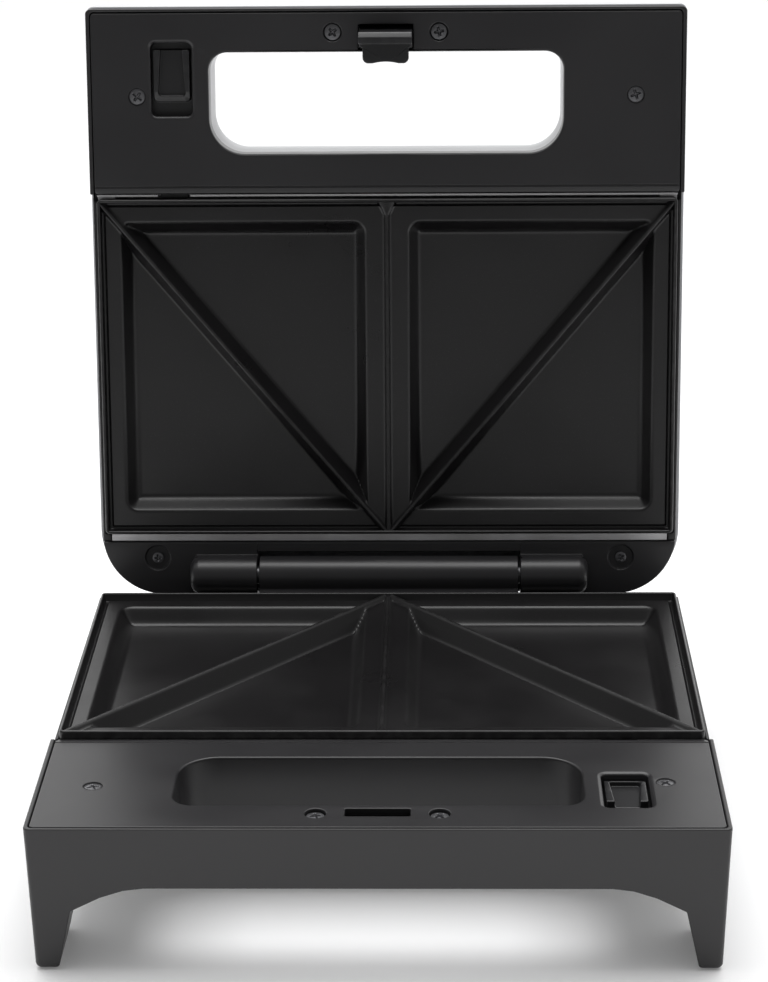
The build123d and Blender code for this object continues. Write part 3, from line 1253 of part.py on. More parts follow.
# ---------------------------------------------------------------- assembly
def base_nodes():
    return {
        "base_housing": base_housing(),
        "base_front_cover": front_cover(
            LOWER, FLOOR_Z, BASE_SLOT_HALF_WIDTH, BASE_SLOT_FRONT_Y, BASE_SLOT_REAR_Y,
        ),
        "base_rear_cover": base_rear_cover(),
        "bottom_cover": bottom_cover(),
        "base_pan": pan(),
        "base_heating_element": heating_element(),
        "base_element_clips": element_clips(),
        "base_plate": plate(),
        "base_release_button": release_button(LOWER),
        "base_release_spring": release_spring(),
        "base_cover_screws": cover_screws(LOWER),
        "base_keeper_screws": well_screws(LOWER),
        "base_rear_screws": rear_screws_base(),
        "base_pan_screws": pan_screws(),
        "bottom_screws": bottom_screws(),
        "latch_keeper": latch_keeper(),
        "hinge_pins": hinge_pins(),
        "rubber_feet": rubber_feet(),
        "thermostat": thermostat(),
        "thermal_fuse": thermal_fuse(),
        "terminal_block": terminal_block(),
        "base_wiring": base_wiring(),
        "hinge_lead": rod_x(
            -HINGE_PIN_OUTER_X + 1, HINGE_PIN_OUTER_X - 1, HINGE_Y, SHUT_Z, HINGE_PIN_BORE,
        ),
        "cord_inlet_bush": cord_bush(),
    }


def lid_nodes():
    left, right = lens_places()
    upper_cover = front_cover(
        UPPER, COVER_TOP - FRAME_HEIGHT, LID_SLOT_HALF_WIDTH, LID_SLOT_FRONT_Y, LID_SLOT_REAR_Y,
    )
    return {
        "lid_outer_cover": lid_outer_cover(),
        "lid_frame": lid_frame(),
        "lid_front_cover": to_twin(upper_cover),
        "lid_rear_cover": lid_rear_cover(),
        "lid_pan": to_twin(pan()),
        "lid_heating_element": to_twin(heating_element()),
        "lid_element_clips": [to_twin(clip) for clip in element_clips()],
        "lid_plate": to_twin(plate()),
        "lid_release_button": to_twin(release_button(UPPER)),
        "lid_release_spring": to_twin(release_spring()),
        "lid_cover_screws": [to_twin(piece) for piece in cover_screws(UPPER)],
        "lid_latch_screws": [to_twin(piece) for piece in well_screws(UPPER)],
        "lid_rear_screws": rear_screws_lid(),
        "lid_pan_screws": [to_twin(piece) for piece in pan_screws()],
        "latch": latch(),
        "latch_carrier": latch_carrier(),
        "latch_pin": latch_pin(),
        "latch_spring": latch_spring(),
        "power_lens": lens(left),
        "ready_lens": lens(right),
        "power_lamp": lamp(left),
        "ready_lamp": lamp(right),
    }


def solids_of(piece):
    pieces = piece if isinstance(piece, list) else [piece]
    found = []
    for item in pieces:
        found.extend(item.solids())
    return found


def main():
    shapes = {name: solids_of(piece) for name, piece in base_nodes().items()}
    for name, piece in lid_nodes().items():
        shapes[name] = [to_open(solid) for solid in solids_of(piece)]
    boxes = [solid.bounding_box() for solids in shapes.values() for solid in solids]
    front, back = min(b.min.Y for b in boxes), max(b.max.Y for b in boxes)
    low, high = min(b.min.Z for b in boxes), max(b.max.Z for b in boxes)
    left, right = min(b.min.X for b in boxes), max(b.max.X for b in boxes)
    middle_y = (front + back) / 2
    os.makedirs("parts", exist_ok=True)
    for name, solids in shapes.items():
        moved = [Pos(0, -middle_y, 0) * solid for solid in solids]
        node = moved[0] if len(moved) == 1 else Compound(children=moved)
        node.label = name
        export_step(node, f"parts/{name}.step")
    print("shift in y", round(middle_y, 4))
    print("size", round(right - left, 3), round(back - front, 3), round(high - low, 3))
    print("hinge at y", round(HINGE_Y - middle_y, 4), "z", SHUT_Z)
    pivot = to_open(Pos(0, LATCH_PIVOT_Y, LATCH_PIVOT_Z) * Vertex(0, 0, 0)).center()
    print("latch pivot at y", round(pivot.Y - middle_y, 4), "z", round(pivot.Z, 4))


main()
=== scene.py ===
"""Looks of an open sandwich toaster, dressed over its packed construction.

Sizes are millimetres in the maker's drawing frame: x = 0 in the middle, y = 0 at the
base's front top edge, z = 0 on the table, lid shut. A Place turns them into metres in
the row frame, for the base or for the opened lid.
"""

import json
import logging
import math
from dataclasses import dataclass, field
from enum import Enum
from typing import Iterable

import bmesh
import bpy
import numpy as np
from mathutils import Matrix, Vector
from mathutils.bvhtree import BVHTree


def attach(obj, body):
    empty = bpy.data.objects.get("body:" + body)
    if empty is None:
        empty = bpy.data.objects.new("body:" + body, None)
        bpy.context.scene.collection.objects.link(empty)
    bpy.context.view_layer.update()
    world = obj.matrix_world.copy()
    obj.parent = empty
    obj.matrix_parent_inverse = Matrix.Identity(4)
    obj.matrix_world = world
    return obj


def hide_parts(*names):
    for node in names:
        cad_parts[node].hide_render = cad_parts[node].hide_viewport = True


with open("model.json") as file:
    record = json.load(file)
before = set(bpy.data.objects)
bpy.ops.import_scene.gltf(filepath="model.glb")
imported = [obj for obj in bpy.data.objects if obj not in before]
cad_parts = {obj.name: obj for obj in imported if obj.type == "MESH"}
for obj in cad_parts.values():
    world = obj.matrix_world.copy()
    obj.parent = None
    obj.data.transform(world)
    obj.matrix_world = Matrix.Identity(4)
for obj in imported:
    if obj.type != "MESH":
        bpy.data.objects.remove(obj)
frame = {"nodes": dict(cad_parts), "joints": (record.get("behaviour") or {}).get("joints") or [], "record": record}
log = logging.getLogger("sandwich_toaster")

Plan = tuple[float, float]
Point = tuple[float, float, float]
Colour = tuple[float, float, float]
Tree = bpy.types.NodeTree
Socket = bpy.types.NodeSocket

MM = 0.001
DRAWN_WELD = 0.01 * MM
PACKED_WELD = 0.004 * MM
WHITE = (1.0, 1.0, 1.0, 1.0)


def hinge_joint() -> dict:
    """Returns the record's lid hinge."""
    return next(joint for joint in frame["joints"] if joint["name"] == "lid_hinge")


@dataclass(frozen=True)
class Drawing:
    """Where the drawing frame lies in the row frame, and the levels that pieces share."""

    hinge_y: float = 246.0
    shut_z: float = 62.0
    open_angle: float = 97.0
    cover_top: float = 58.5
    deck_top: float = 50.0

    @property
    def shift(self) -> float:
        """Distance in millimetres that the row frame's origin lies behind the drawing's."""
        return self.hinge_y - hinge_joint()["pos_m"][1] / MM


DRAWING = Drawing()


class Place(Enum):
    """Which half of the toaster a piece is drawn for."""

    BASE = "base"
    TWIN = "lid piece drawn as the base's mirror twin"

    def matrix(self) -> Matrix:
        """Returns the matrix from drawing millimetres to row metres."""
        to_row = Matrix.Scale(MM, 4) @ Matrix.Translation((0.0, -DRAWING.shift, 0.0))
        if self is Place.BASE:
            return to_row
        hinge = Matrix.Translation((0.0, DRAWING.hinge_y, DRAWING.shut_z))
        swing = Matrix.Rotation(-math.radians(DRAWING.open_angle), 4, "X")
        level = Matrix.Translation((0.0, 0.0, DRAWING.shut_z))
        twin = level @ Matrix.Rotation(math.pi, 4, "Y") @ level.inverted()
        return to_row @ hinge @ swing @ hinge.inverted() @ twin


# ------------------------------------------------------------------ shader nodes
def opaque(value: float | Colour) -> float | tuple[float, ...]:
    """Returns a colour with full opacity, and a number as it is."""
    return (*value, 1.0) if isinstance(value, tuple) else value


def wire(tree: Tree, source: Socket, target: Socket) -> None:
    """Links two sockets."""
    tree.links.new(source, target)


def feed(tree: Tree, value: float | Colour | Socket, target: Socket) -> None:
    """Links a socket to the target, or sets the target to a number or a colour.

    Args:
        tree: Where the nodes are.
        value: A socket, a number or a colour.
        target: The input that takes it.
    """
    if isinstance(value, (int, float, tuple)):
        target.default_value = opaque(value)
    else:
        wire(tree, value, target)


def math_node(tree: Tree, operation: str, *values: float | Socket) -> Socket:
    """Adds a Math node.

    Args:
        tree: Where the node goes.
        operation: The node's operation.
        values: Its inputs, in order.

    Returns:
        Its output socket.
    """
    node = tree.nodes.new("ShaderNodeMath")
    node.operation = operation
    for slot, value in zip(node.inputs, values):
        feed(tree, value, slot)
    return node.outputs[0]


def blend(tree: Tree, first: Socket, second: Socket, share: float) -> Socket:
    """Adds up two values, the first with the given share and the second with the rest.

    Args:
        tree: Where the nodes go.
        first: The value with the given share.
        second: The value with the rest.
        share: Between 0 and 1.

    Returns:
        The sum's socket.
    """
    rest = math_node(tree, "MULTIPLY", second, 1.0 - share)
    return math_node(tree, "MULTIPLY_ADD", first, share, rest)


def ramp(
    tree: Tree, value: Socket, span: Plan, to_low: float | Socket = 0.0, to_high: float | Socket = 1.0
) -> Socket:
    """Maps a span of values to another, clamped.

    Args:
        tree: Where the node goes.
        value: What is mapped.
        span: The values that it starts and ends at.
        to_low: What the span's start becomes.
        to_high: What its end becomes.

    Returns:
        The result's socket.
    """
    node = tree.nodes.new("ShaderNodeMapRange")
    wire(tree, value, node.inputs["Value"])
    ends = {"From Min": span[0], "From Max": span[1], "To Min": to_low, "To Max": to_high}
    for title, end in ends.items():
        feed(tree, end, node.inputs[title])
    return node.outputs["Result"]


def mix_colour(tree: Tree, factor: Socket, first: Colour | Socket, second: Colour | Socket) -> Socket:
    """Mixes two colours.

    Args:
        tree: Where the node goes.
        factor: The second colour's share.
        first: The first colour.
        second: The second colour.

    Returns:
        The result's socket.
    """
    node = tree.nodes.new("ShaderNodeMix")
    node.data_type = "RGBA"
    wire(tree, factor, node.inputs[0])
    feed(tree, first, node.inputs[6])
    feed(tree, second, node.inputs[7])
    return node.outputs[2]


@dataclass(frozen=True)
class Pattern:
    """Noise in object space, so that it stays on the piece.

    Attributes:
        scale: Features per metre.
        detail: Octaves.
        span: The values that an effect starts and ends at.
        stretch: Scale along each axis, for drawn or brushed marks.
    """

    scale: float
    detail: float
    span: Plan = (0.3, 0.7)
    stretch: Point = (1.0, 1.0, 1.0)

    def value(self, tree: Tree) -> Socket:
        """Adds the noise.

        Args:
            tree: Where the nodes go.

        Returns:
            The noise's value socket.
        """
        coordinates = tree.nodes.new("ShaderNodeTexCoord")
        mapping = tree.nodes.new("ShaderNodeMapping")
        mapping.inputs["Scale"].default_value = self.stretch
        texture = tree.nodes.new("ShaderNodeTexNoise")
        texture.inputs["Scale"].default_value = self.scale
        texture.inputs["Detail"].default_value = self.detail
        wire(tree, coordinates.outputs["Object"], mapping.inputs["Vector"])
        wire(tree, mapping.outputs["Vector"], texture.inputs["Vector"])
        return texture.outputs["Fac"]

    def ramped(self, tree: Tree, to_low: float = 0.0, to_high: float = 1.0) -> Socket:
        """Returns the socket of the noise, with its span mapped to another."""
        return ramp(tree, self.value(tree), self.span, to_low, to_high)


# ------------------------------------------------------------------ shared shader groups
class SharedGroup:
    """A shader group, built once and placed in each material with its own values.

    Attributes:
        name: The group's name.
        inputs: Socket name to default; a triple makes a colour socket.
        outputs: Socket name to socket type.
    """

    name: str
    inputs: dict[str, float | Colour]
    outputs: dict[str, str] = {
        "Color": "NodeSocketColor", "Roughness": "NodeSocketFloat", "Height": "NodeSocketFloat",
    }

    def tree(self) -> Tree:
        """Returns the group's tree, built by the first call."""
        built = bpy.data.node_groups.get(self.name)
        if built:
            return built
        tree = bpy.data.node_groups.new(self.name, "ShaderNodeTree")
        for title, value in self.inputs.items():
            kind = "NodeSocketColor" if isinstance(value, tuple) else "NodeSocketFloat"
            socket = tree.interface.new_socket(title, in_out="INPUT", socket_type=kind)
            socket.default_value = opaque(value)
        for title, kind in self.outputs.items():
            tree.interface.new_socket(title, in_out="OUTPUT", socket_type=kind)
        inside = tree.nodes.new("NodeGroupInput")
        outside = tree.nodes.new("NodeGroupOutput")
        for title, source in self.results(tree, inside).items():
            wire(tree, source, outside.inputs[title])
        return tree

    def results(self, tree: Tree, inside: bpy.types.Node) -> dict[str, Socket]:
        """Adds the group's own nodes.

        Args:
            tree: The group's tree.
            inside: The node that holds the group's inputs.

        Returns:
            The socket for each output's name.
        """
        raise NotImplementedError

    def put(self, material: bpy.types.Material, **values: float | Colour) -> bpy.types.Node:
        """Places the group in a material.

        Args:
            material: Where it goes.
            values: Its own values, by socket name.

        Returns:
            The group's node.
        """
        node = material.node_tree.nodes.new("ShaderNodeGroup")
        node.node_tree = self.tree()
        for title, value in values.items():
            node.inputs[title].default_value = opaque(value)
        return node


class RubbedEdges(SharedGroup):
    """Finds rubbed edges and broken patches along them."""

    name = "rubbed_edges"
    inputs = {"Amount": 0.5}
    outputs = {"Mask": "NodeSocketFloat"}
    edge_span: Plan = (0.52, 0.60)
    patches = Pattern(260.0, 4.0, (0.42, 0.62))

    def results(self, tree: Tree, inside: bpy.types.Node) -> dict[str, Socket]:
        """Adds the nodes of the mask."""
        geometry = tree.nodes.new("ShaderNodeNewGeometry")
        edge = ramp(tree, geometry.outputs["Pointiness"], self.edge_span)
        broken = math_node(tree, "MULTIPLY", edge, self.patches.ramped(tree))
        return {"Mask": math_node(tree, "MULTIPLY", broken, inside.outputs["Amount"])}


class MouldedGrain(SharedGroup):
    """Moulded plastic: fine spark-eroded grain and faint flow marks."""

    name = "moulded_grain"
    inputs = {
        "Tone": (0.02, 0.02, 0.022), "Lighter": (0.03, 0.03, 0.032), "Roughness": 0.45, "Spread": 0.06,
    }
    flow_marks = Pattern(14.0, 2.0, (0.35, 0.65), (1.0, 2.4, 1.0))
    specks = Pattern(2600.0, 2.0)
    grain = Pattern(3400.0, 1.0)
    speck_share = 0.35
    grain_share = 0.6

    def results(self, tree: Tree, inside: bpy.types.Node) -> dict[str, Socket]:
        """Adds the nodes of the grain."""
        flow, speck = self.flow_marks.ramped(tree), self.specks.value(tree)
        mottle = blend(tree, speck, flow, self.speck_share)
        offset = math_node(tree, "SUBTRACT", mottle, 0.5)
        spread, roughness = inside.outputs["Spread"], inside.outputs["Roughness"]
        return {
            "Color": mix_colour(tree, mottle, inside.outputs["Tone"], inside.outputs["Lighter"]),
            "Roughness": math_node(tree, "MULTIPLY_ADD", offset, spread, roughness),
            "Height": blend(tree, self.grain.value(tree), speck, self.grain_share),
        }


class SprayedCoat(SharedGroup):
    """Sprayed non-stick coating: orange peel, mica specks and wiped haze."""

    name = "nonstick_coat"
    inputs = {"Tone": (0.012, 0.012, 0.013), "Mica": (0.09, 0.09, 0.095), "Roughness": 0.34}
    mica_flakes = Pattern(2200.0, 1.0, (0.66, 0.74))
    mica_share = 0.5
    haze = Pattern(22.0, 5.0)
    haze_roughness: Plan = (-0.05, 0.07)
    peel = Pattern(520.0, 2.0)
    fine_peel = Pattern(1900.0, 1.0)
    peel_share = 0.7

    def results(self, tree: Tree, inside: bpy.types.Node) -> dict[str, Socket]:
        """Adds the nodes of the coating."""
        flakes = math_node(tree, "MULTIPLY", self.mica_flakes.ramped(tree), self.mica_share)
        haze = self.haze.ramped(tree, *self.haze_roughness)
        return {
            "Color": mix_colour(tree, flakes, inside.outputs["Tone"], inside.outputs["Mica"]),
            "Roughness": math_node(tree, "ADD", inside.outputs["Roughness"], haze),
            "Height": blend(tree, self.peel.value(tree), self.fine_peel.value(tree), self.peel_share),
        }


class DrawnLines(SharedGroup):
    """Rolled or turned steel: fine lines and dull patches."""

    name = "drawn_metal"
    inputs = {"Bright": (0.6, 0.6, 0.61), "Dull": (0.36, 0.35, 0.35), "Roughness": 0.3, "Spread": 0.18}
    lines = Pattern(900.0, 3.0, stretch=(0.02, 1.0, 1.0))
    patches = Pattern(60.0, 4.0, (0.35, 0.7))
    line_share = 0.5

    def results(self, tree: Tree, inside: bpy.types.Node) -> dict[str, Socket]:
        """Adds the nodes of the metal."""
        lines = self.lines.value(tree)
        dullness = blend(tree, lines, self.patches.ramped(tree), self.line_share)
        spread, roughness = inside.outputs["Spread"], inside.outputs["Roughness"]
        return {
            "Color": mix_colour(tree, dullness, inside.outputs["Bright"], inside.outputs["Dull"]),
            "Roughness": math_node(tree, "MULTIPLY_ADD", dullness, spread, roughness),
            "Height": lines,
        }


# ------------------------------------------------------------------ finishes
def blank_material(name: str) -> bpy.types.Material:
    """Returns a node material with only its Principled shader and output."""
    material = bpy.data.materials.new(name)
    material.use_nodes = True
    return material


def shader_of(material: bpy.types.Material) -> bpy.types.Node:
    """Returns a material's Principled shader."""
    return material.node_tree.nodes["Principled BSDF"]


@dataclass(frozen=True)
class Surface:
    """What every finish shares: its material is made once."""

    name: str

    def material(self) -> bpy.types.Material:
        """Returns the finish's material, made by the first call."""
        made = bpy.data.materials.get(self.name)
        if made:
            return made
        material = blank_material(self.name)
        self.dress(material)
        return material

    def dress(self, material: bpy.types.Material) -> None:
        """Adds the finish's nodes to its blank material."""
        raise NotImplementedError

    def spread_over(
        self, material: bpy.types.Material, colour: Socket, group: bpy.types.Node, depth: float
    ) -> None:
        """Feeds a colour and a group's roughness and height into the material's shader.

        Args:
            material: The material.
            colour: The socket with its base colour.
            group: The placed group with its roughness and height.
            depth: How deep the height goes, in metres.
        """
        tree, shader = material.node_tree, shader_of(material)
        wire(tree, colour, shader.inputs["Base Color"])
        wire(tree, group.outputs["Roughness"], shader.inputs["Roughness"])
        bump = tree.nodes.new("ShaderNodeBump")
        bump.inputs["Distance"].default_value = depth
        bump.inputs["Strength"].default_value = 1.0
        wire(tree, group.outputs["Height"], bump.inputs["Height"])
        wire(tree, bump.outputs["Normal"], shader.inputs["Normal"])


@dataclass(frozen=True)
class MouldedPlastic(Surface):
    """Moulded plastic with grain, rubbed a little along its edges."""

    tone: Colour
    lighter: Colour
    roughness: float
    spread: float = 0.06
    grain: float = 0.00002
    wear: float = 0.07
    worn: Colour = (0.10, 0.10, 0.105)

    def dress(self, material: bpy.types.Material) -> None:
        """Adds the plastic's nodes."""
        grain = MouldedGrain().put(
            material, Tone=self.tone, Lighter=self.lighter, Roughness=self.roughness, Spread=self.spread
        )
        rubbed = RubbedEdges().put(material, Amount=self.wear)
        colour = mix_colour(material.node_tree, rubbed.outputs["Mask"], grain.outputs["Color"], self.worn)
        self.spread_over(material, colour, grain, self.grain)


@dataclass(frozen=True)
class NonStickCoat(Surface):
    """Satin non-stick coating over cast aluminium."""

    tone: Colour
    mica: Colour
    roughness: float
    peel: float = 0.00003
    wear: float = 0.18
    worn: Colour = (0.13, 0.13, 0.13)

    def dress(self, material: bpy.types.Material) -> None:
        """Adds the coating's nodes."""
        coat = SprayedCoat().put(material, Tone=self.tone, Mica=self.mica, Roughness=self.roughness)
        rubbed = RubbedEdges().put(material, Amount=self.wear)
        colour = mix_colour(material.node_tree, rubbed.outputs["Mask"], coat.outputs["Color"], self.worn)
        self.spread_over(material, colour, coat, self.peel)


@dataclass(frozen=True)
class DrawnMetal(Surface):
    """Bare or plated steel."""

    bright: Colour
    dull: Colour
    roughness: float
    spread: float = 0.18
    lines: float = 0.000004

    def dress(self, material: bpy.types.Material) -> None:
        """Adds the metal's nodes."""
        shader_of(material).inputs["Metallic"].default_value = 1.0
        metal = DrawnLines().put(
            material, Bright=self.bright, Dull=self.dull, Roughness=self.roughness, Spread=self.spread
        )
        self.spread_over(material, metal.outputs["Color"], metal, self.lines)


@dataclass(frozen=True)
class ClearTint(Surface):
    """Tinted clear plastic or bulb glass."""

    tint: Colour
    roughness: float = 0.08
    haze: float = 0.08
    paler_share: float = 1.25
    paler_lift: float = 0.02
    transmission: float = 0.5
    ior: float = 1.49
    swirl: Pattern = Pattern(420.0, 2.0)
    clouds: Pattern = Pattern(150.0, 3.0)

    def dress(self, material: bpy.types.Material) -> None:
        """Adds the tint's nodes."""
        tree, shader = material.node_tree, shader_of(material)
        shader.inputs["Transmission Weight"].default_value = self.transmission
        shader.inputs["IOR"].default_value = self.ior
        paler = tuple(min(1.0, part * self.paler_share + self.paler_lift) for part in self.tint)
        colour = mix_colour(tree, self.swirl.ramped(tree), self.tint, paler)
        wire(tree, colour, shader.inputs["Base Color"])
        rough = self.clouds.ramped(tree, self.roughness, self.roughness + self.haze)
        wire(tree, rough, shader.inputs["Roughness"])


HANDLED = {
    "tone": (0.012, 0.012, 0.013), "lighter": (0.018, 0.018, 0.019),
    "roughness": 0.30, "spread": 0.05, "grain": 0.00001, "wear": 0.35,
}


class Finish(Enum):
    """The toaster's finishes, by the record's material slot."""

    BODY = ("body_black", MouldedPlastic(
        "satin_body_plastic", (0.0148, 0.0140, 0.0151), (0.0205, 0.0197, 0.0208), 0.40))
    COVER = ("cover_black", MouldedPlastic(
        "satin_cover_plastic", (0.016, 0.0154, 0.0168), (0.021, 0.0204, 0.0218), 0.33))
    SILVER = ("lid_silver", MouldedPlastic(
        "silver_lid_paint", (0.48, 0.485, 0.50), (0.56, 0.565, 0.58), 0.34, 0.05, 0.000008, 0.0))
    PLATE = ("nonstick", NonStickCoat(
        "nonstick_coating", (0.0065, 0.0060, 0.0065), (0.04, 0.04, 0.042), 0.32))
    PAN = ("pan_steel", DrawnMetal(
        "bright_sheet_steel", (0.62, 0.62, 0.63), (0.45, 0.44, 0.44), 0.28))
    ELEMENT = ("element_steel", DrawnMetal(
        "heat_dulled_steel", (0.28, 0.25, 0.23), (0.15, 0.13, 0.12), 0.45))
    SCREW = ("screw_steel", DrawnMetal(
        "blackened_screw_steel", (0.22, 0.22, 0.23), (0.10, 0.10, 0.105), 0.32))
    BUTTON = ("button_black", MouldedPlastic("button_plastic", **HANDLED))
    LATCH = ("latch_black", MouldedPlastic("latch_plastic", **HANDLED))
    SPRING = ("spring_steel", DrawnMetal("spring_wire", (0.5, 0.5, 0.5), (0.35, 0.35, 0.35), 0.25))
    FOOT = ("foot_rubber", MouldedPlastic(
        "foot_rubber", (0.012, 0.012, 0.012), (0.02, 0.02, 0.02), 0.75, 0.1, 0.00004, 0.1))
    CERAMIC = ("ceramic", MouldedPlastic(
        "pale_heatproof_moulding", (0.55, 0.52, 0.46), (0.66, 0.63, 0.57), 0.55, 0.08, 0.00003, 0.0))
    SLEEVE = ("wire_sleeve", MouldedPlastic(
        "red_wire_sleeve", (0.35, 0.03, 0.02), (0.45, 0.05, 0.03), 0.5, 0.08, 0.00001, 0.0))
    RED_LENS = ("lens_red", ClearTint("red_lens", (0.32, 0.008, 0.006)))
    GREEN_LENS = ("lens_green", ClearTint("green_lens", (0.008, 0.22, 0.03)))
    BULB = ("lamp_glass", ClearTint("bulb_glass", (0.95, 0.75, 0.6), 0.03))

    @property
    def slot(self) -> str:
        """The record's material slot."""
        return self.value[0]

    def material(self) -> bpy.types.Material:
        """Returns the finish's material."""
        return self.value[1].material()


def finish_of(node: str) -> Finish:
    """Finds the finish for the material slot that the record gives a construction node.

    Args:
        node: The construction node.

    Returns:
        Its finish.
    """
    subparts = frame["record"]["subparts"]
    slot = next(part["material_slot"] for part in subparts if part["node"] == node)
    return next(finish for finish in Finish if finish.slot == slot)


def body_of(node: str) -> str:
    """Returns the body that a construction node rides on."""
    bodies = frame["record"]["behaviour"]["bodies"]
    return next(body for body, nodes in bodies.items() if node in nodes)


# ------------------------------------------------------------------ mesh helpers
def add_piece(
    name: str, mesh: bpy.types.Mesh, finish: Finish, body: str, nodes: Iterable[str] = ()
) -> bpy.types.Object:
    """Adds a finished mesh as a piece of the toaster.

    Args:
        name: The piece's name.
        mesh: Its mesh, in row metres.
        finish: Its finish.
        body: The body it rides on.
        nodes: The construction nodes that it stands for.

    Returns:
        The new object.
    """
    piece = bpy.data.objects.new(name, mesh)
    bpy.context.scene.collection.objects.link(piece)
    mesh.materials.clear()
    mesh.materials.append(finish.material())
    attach(piece, body)
    finish.slot
    for node in nodes:
        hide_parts(node)
    log.info("piece %s: %d faces", name, len(mesh.polygons))
    return piece


def welded(mesh: bpy.types.Mesh, reach: float) -> bmesh.types.BMesh:
    """Makes a working copy of a mesh, its doubled points made one.

    Args:
        mesh: The mesh.
        reach: How near doubled points are, in metres.

    Returns:
        The working copy.
    """
    work = bmesh.new()
    work.from_mesh(mesh)
    bmesh.ops.remove_doubles(work, verts=work.verts, dist=reach)
    return work


@dataclass
class Sketch:
    """Points and faces of a mesh while it is drawn, in drawing millimetres."""

    points: list[Point] = field(default_factory=list)
    faces: list[tuple[int, ...]] = field(default_factory=list)

    def add(self, points: list[Point], faces: Iterable[tuple[int, ...]]) -> None:
        """Adds points and faces.

        Args:
            points: The new points.
            faces: Their faces, whose corners count from the first new point.
        """
        start = len(self.points)
        self.points.extend(points)
        self.faces.extend(tuple(start + corner for corner in face) for face in faces)

    def add_rings(self, rings: list[list[Point]]) -> None:
        """Adds closed rings of points, each joined to the next by quads.

        Args:
            rings: The rings, all with the same number of points.
        """
        count = len(rings[0])
        faces = []
        for row in range(len(rings) - 1):
            for column in range(count):
                a, b = row * count + column, row * count + (column + 1) % count
                faces.append((a, b, b + count, a + count))
        self.add([point for ring in rings for point in ring], faces)

    def add_block(self, x: Plan, y: Plan, z: Plan) -> None:
        """Adds a box.

        Args:
            x: Its two ends along x.
            y: Its two ends along y.
            z: Its two ends along z.
        """
        corners = [(px, py, pz) for pz in z for py in y for px in x]
        sides = ((0, 1, 3, 2), (4, 6, 7, 5), (0, 4, 5, 1), (2, 3, 7, 6), (0, 2, 6, 4), (1, 5, 7, 3))
        self.add(corners, sides)

    def mesh(self, name: str, place: Place, sharp_angle: float) -> bpy.types.Mesh:
        """Makes the drawn mesh.

        Args:
            name: The mesh's name.
            place: Which half of the toaster it is drawn for.
            sharp_angle: Edges with a larger turn stay sharp, in degrees.

        Returns:
            The mesh, in row metres, shaded smooth, with its faces turned outward.
        """
        mesh = bpy.data.meshes.new(name)
        mesh.from_pydata(self.points, [], self.faces)
        mesh.transform(place.matrix())
        work = welded(mesh, DRAWN_WELD)
        bmesh.ops.recalc_face_normals(work, faces=work.faces)
        work.to_mesh(mesh)
        work.free()
        mesh.shade_smooth()
        mesh.set_sharp_from_angle(angle=math.radians(sharp_angle))
        return mesh


@dataclass(frozen=True)
class Softening:
    """How far a hard construction edge is rounded, as a mould or a press leaves it.

    Attributes:
        width: The rounding's width in millimetres.
        segments: Faces across the rounding.
        angle: Edges with a smaller turn stay as they are, in degrees.
        overshoot: Points further off the hard surface, in widths, are pulled back onto it.
    """

    width: float
    segments: int
    angle: float = 28.0
    overshoot: float = 1.3

    def soften(self, node: str) -> None:
        """Makes the rounded piece that stands for a construction node, on the node's body.

        Args:
            node: The construction node.
        """
        mesh = frame["nodes"][node].data.copy()
        work = welded(mesh, PACKED_WELD)
        hard_surface = BVHTree.FromBMesh(work)
        work.to_mesh(mesh)
        work.free()
        rounded = self.rounded(mesh)
        rounded.name = f"{node}_moulded"
        self.pull_back(rounded, hard_surface)
        rounded.shade_smooth()
        piece = add_piece(f"{node}_skin", rounded, finish_of(node), body_of(node), [node])
        weighted = piece.modifiers.new("even_shading", "WEIGHTED_NORMAL")
        weighted.keep_sharp = True

    def rounded(self, mesh: bpy.types.Mesh) -> bpy.types.Mesh:
        """Rounds a mesh's sharp edges.

        Args:
            mesh: The mesh, which stays as it is.

        Returns:
            The rounded copy.
        """
        holder = bpy.data.objects.new("rounding", mesh)
        bpy.context.scene.collection.objects.link(holder)
        bevel = holder.modifiers.new("rounded_edges", "BEVEL")
        bevel.width = self.width * MM
        bevel.segments = self.segments
        bevel.limit_method = "ANGLE"
        bevel.angle_limit = math.radians(self.angle)
        bevel.use_clamp_overlap = False
        bevel.loop_slide = False
        bevel.miter_outer = "MITER_ARC"
        bpy.context.view_layer.update()
        evaluated = holder.evaluated_get(bpy.context.evaluated_depsgraph_get())
        result = bpy.data.meshes.new_from_object(evaluated)
        bpy.data.objects.remove(holder)
        return result

    def pull_back(self, mesh: bpy.types.Mesh, surface: BVHTree) -> None:
        """Brings points that the rounding threw off the hard surface back onto it.

        Args:
            mesh: The rounded mesh.
            surface: The hard surface.
        """
        limit = self.overshoot * self.width * MM
        for vertex in mesh.vertices:
            place, _, _, distance = surface.find_nearest(vertex.co)
            if distance > limit:
                vertex.co = place


# ------------------------------------------------------------------ cooking plates
def smooth_max(first: np.ndarray, second: np.ndarray | float, width: float) -> np.ndarray:
    """Returns the larger of two surfaces, blended over a width where they cross."""
    gap = np.abs(first - second)
    return np.maximum(first, second) + np.maximum(width - gap, 0.0) ** 2 / (4.0 * width)


